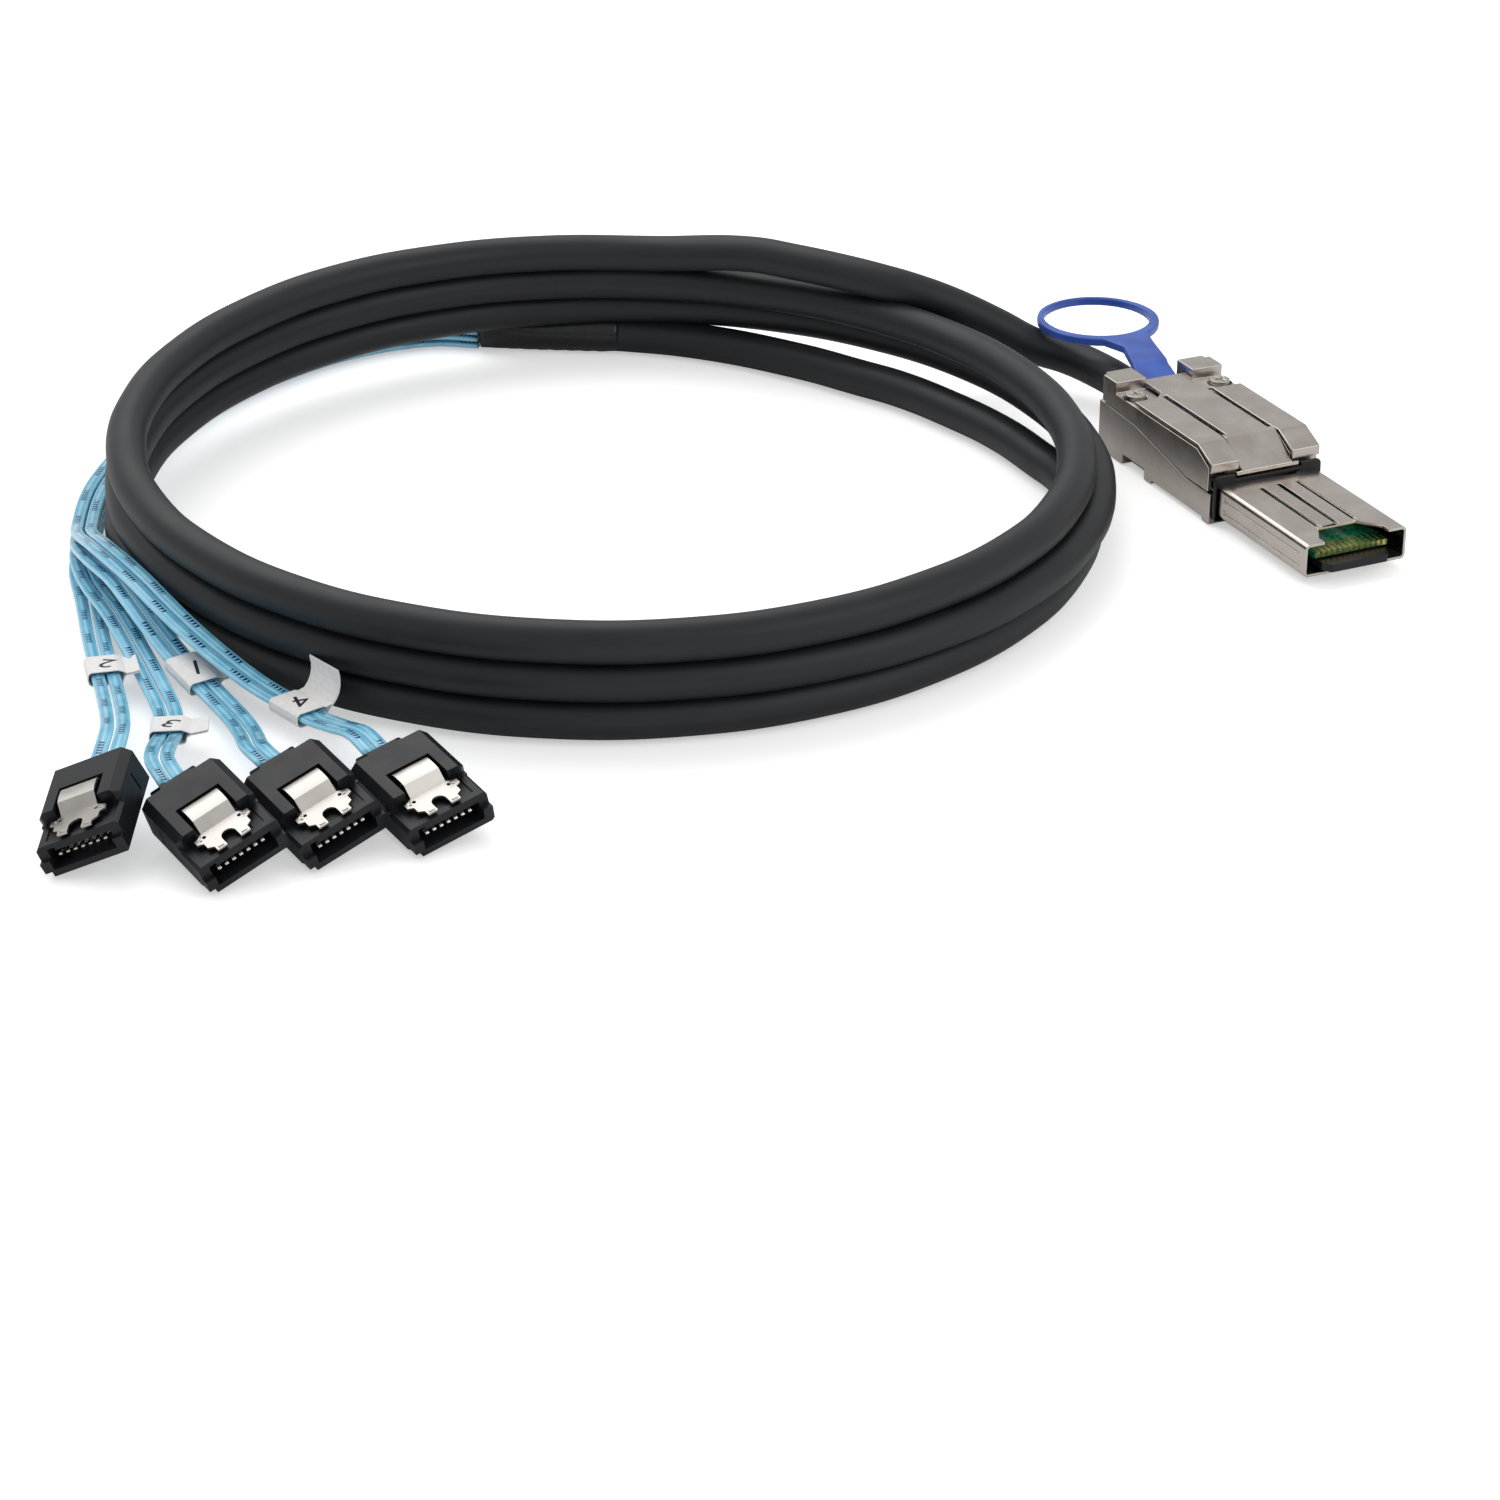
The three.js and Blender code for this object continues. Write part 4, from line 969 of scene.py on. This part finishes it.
# Paper labels: a sleeve round both ribbons, its ends stuck together as a flag on the right. A flag has a
# length, a lift in degrees and a skew, and a digit has its place across the sleeve and a turn in degrees
labels = {
    "length": 8.0, "sheet": 0.16, "halfWidth": 2.95, "halfHeight": 1.15, "rows": 6, "flagRoot": 0.35,
    "flagHalf": 0.14, "digitMm": 5.6, "digitDepth": 0.02,
    "flags": {1: (2.6, 12, 0.25), 2: (3.4, 10, 0.1), 3: (3.6, 6, 0.1), 4: (6.6, 72, 0.25)},
    "digits": {1: ("2", -0.6, 25), 2: ("3", -0.4, 25), 3: ("1", -0.5, 20), 4: ("4", -0.5, 20)},
}


def labelMatrix(number, route):
    corners = [v.co for v in nodes[f"label_{number}"].data.vertices]
    middle = sum(corners, Vector()) / len(corners)
    near = min(range(1, len(route) - 1), key=lambda i: (route[i] - middle).length)
    middle = route[near]
    along = (route[near + 1] - route[near - 1]).normalized()
    across = Vector((along.y, -along.x, 0)).normalized()
    up = across.cross(along)
    turned = Matrix((across, along, up)).transposed().to_4x4()
    return Matrix.Translation(middle) @ turned @ Matrix.Scale(0.001, 4)


# The sheet's path, seen along the ribbons: flag, round the sleeve, and back along the flag
def labelPath(flagLength, liftDegrees):
    w, h = labels["halfWidth"], labels["halfHeight"]
    lift = math.radians(liftDegrees)
    around = [(-w, -0.1), (-w + 0.25, -h + 0.2), (-w + 0.7, -h), (w - 0.6, -h), (w - 0.15, -h + 0.35), (w, 0),
              (w - 0.15, h - 0.35), (w - 0.6, h), (-w + 0.9, h), (-w + 0.2, h - 0.25)]
    flag = []
    for i in range(1, labels["rows"] + 1):
        share = i / labels["rows"]
        reach = flagLength * share
        bend = lift * (0.5 + 0.5 * share)
        flag.append((-w - reach * math.cos(bend), labels["flagRoot"] + reach * math.sin(bend)))
    lower = [(x, z - labels["flagHalf"]) for x, z in reversed(flag)]
    upper = [(x, z + labels["flagHalf"]) for x, z in flag]
    return lower + around + upper


def makeSleeve(number, matrix):
    flagLength, liftDegrees, skew = labels["flags"][number]
    count = labels["rows"]
    form = bmesh.new()
    rows = []
    for x, z in labelPath(flagLength, liftDegrees):
        start = skew * max(0.0, -x - labels["halfWidth"]) - labels["length"] / 2
        rows.append([form.verts.new((x, start + labels["length"] * j / count, z)) for j in range(count + 1)])
    for before, after in zip(rows, rows[1:]):
        for j in range(count):
            form.faces.new((before[j], before[j + 1], after[j + 1], after[j]))
    mesh = bpy.data.meshes.new("label")
    form.to_mesh(mesh)
    form.free()
    mesh.transform(matrix)
    sleeve = linkObject(f"label_{number}_paper", mesh, paper)
    thick = sleeve.modifiers.new("sheet", "SOLIDIFY")
    thick.thickness = labels["sheet"] / 1000
    thick.offset = 0
    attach(sleeve, "assembly")
    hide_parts(f"label_{number}")


def makeDigit(number, matrix):
    digit, x, turn = labels["digits"][number]
    letters = bpy.data.curves.new(f"label_{number}_digit", "FONT")
    letters.body = digit
    letters.size = labels["digitMm"]
    letters.align_x = "CENTER"
    letters.align_y = "CENTER"
    letters.extrude = labels["digitDepth"]
    printed = linkObject(f"label_{number}_digit", letters, ink)
    level = labels["halfHeight"] + labels["sheet"] / 2 + labels["digitDepth"]
    turned = Matrix.Rotation(math.radians(-turn), 4, "Z")
    printed.matrix_world = matrix @ Matrix.Translation((x, 0, level)) @ turned
    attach(printed, "assembly")


for number in driveNumbers:
    matrix = labelMatrix(number, catmullRom(pairRoute(number - 1), ribbon["stepMm"]))
    makeSleeve(number, matrix)
    makeDigit(number, matrix)
print("labels made")


# Lights, floor and background, in metres. The floor glows a little for the camera alone, so that it meets the
# white background without a line
studio = {
    "floorHex": "#f4f4f4", "floorReach": 3, "floorSink": 0.0002, "glow": 0.45, "sky": 0.62,
    "lights": {
        "key": {"spot": (-0.3, 0.45, 0.8), "size": (1.0, 0.8), "power": 4.5},
        "fill": {"spot": (0.8, -0.5, 0.6), "size": (0.8, 0.6), "power": 2.0},
    },
}


def addFloor():
    reach = studio["floorReach"]
    corners = [(-reach, -reach, 0), (reach, -reach, 0), (reach, reach, 0), (-reach, reach, 0)]
    mesh = bpy.data.meshes.new("floor")
    mesh.from_pydata(corners, [], [(0, 1, 2, 3)])
    settings = {"Roughness": 0.9, "Base Color": colour(studio["floorHex"])}
    material, tree, shader = newMaterial("white_floor", settings)
    path = addNode(tree, "ShaderNodeLightPath")
    glow = addNode(tree, "ShaderNodeEmission", {"Color": grey(1), "Strength": studio["glow"]})
    both = addNode(tree, "ShaderNodeAddShader", None, {"0": shader.outputs[0], "1": glow.outputs[0]})
    mix = addNode(tree, "ShaderNodeMixShader", None, {"0": path.outputs["Is Camera Ray"],
                                                      "1": shader.outputs[0], "2": both.outputs[0]})
    tree.links.new(mix.outputs[0], tree.nodes["Material Output"].inputs["Surface"])
    floor = linkObject("floor", mesh, material)
    floor.location = (0, 0, -studio["floorSink"])


# Each light looks at the middle of the frame
def addLight(name, spot, size, power):
    data = bpy.data.lights.new(name, "AREA")
    data.shape = "RECTANGLE"
    data.size, data.size_y = size
    data.energy = power
    light = bpy.data.objects.new(name, data)
    light.location = spot
    light.rotation_euler = (-Vector(spot)).to_track_quat("-Z", "Y").to_euler()
    bpy.context.scene.collection.objects.link(light)


def addWorld():
    world = bpy.data.worlds.new("studio")
    bpy.context.scene.world = world
    world.use_nodes = True
    tree = world.node_tree
    background = tree.nodes["Background"]
    background.inputs["Color"].default_value = grey(1)
    path = addNode(tree, "ShaderNodeLightPath")
    strength = addNode(tree, "ShaderNodeMapRange", {"To Min": studio["sky"], "To Max": 1.0},
                       {"Value": path.outputs["Is Camera Ray"]})
    tree.links.new(strength.outputs[0], background.inputs["Strength"])


addFloor()
addWorld()
for name, settings in studio["lights"].items():
    addLight(name, **settings)
bpy.context.scene.view_settings.view_transform = "Standard"
print("studio lit")
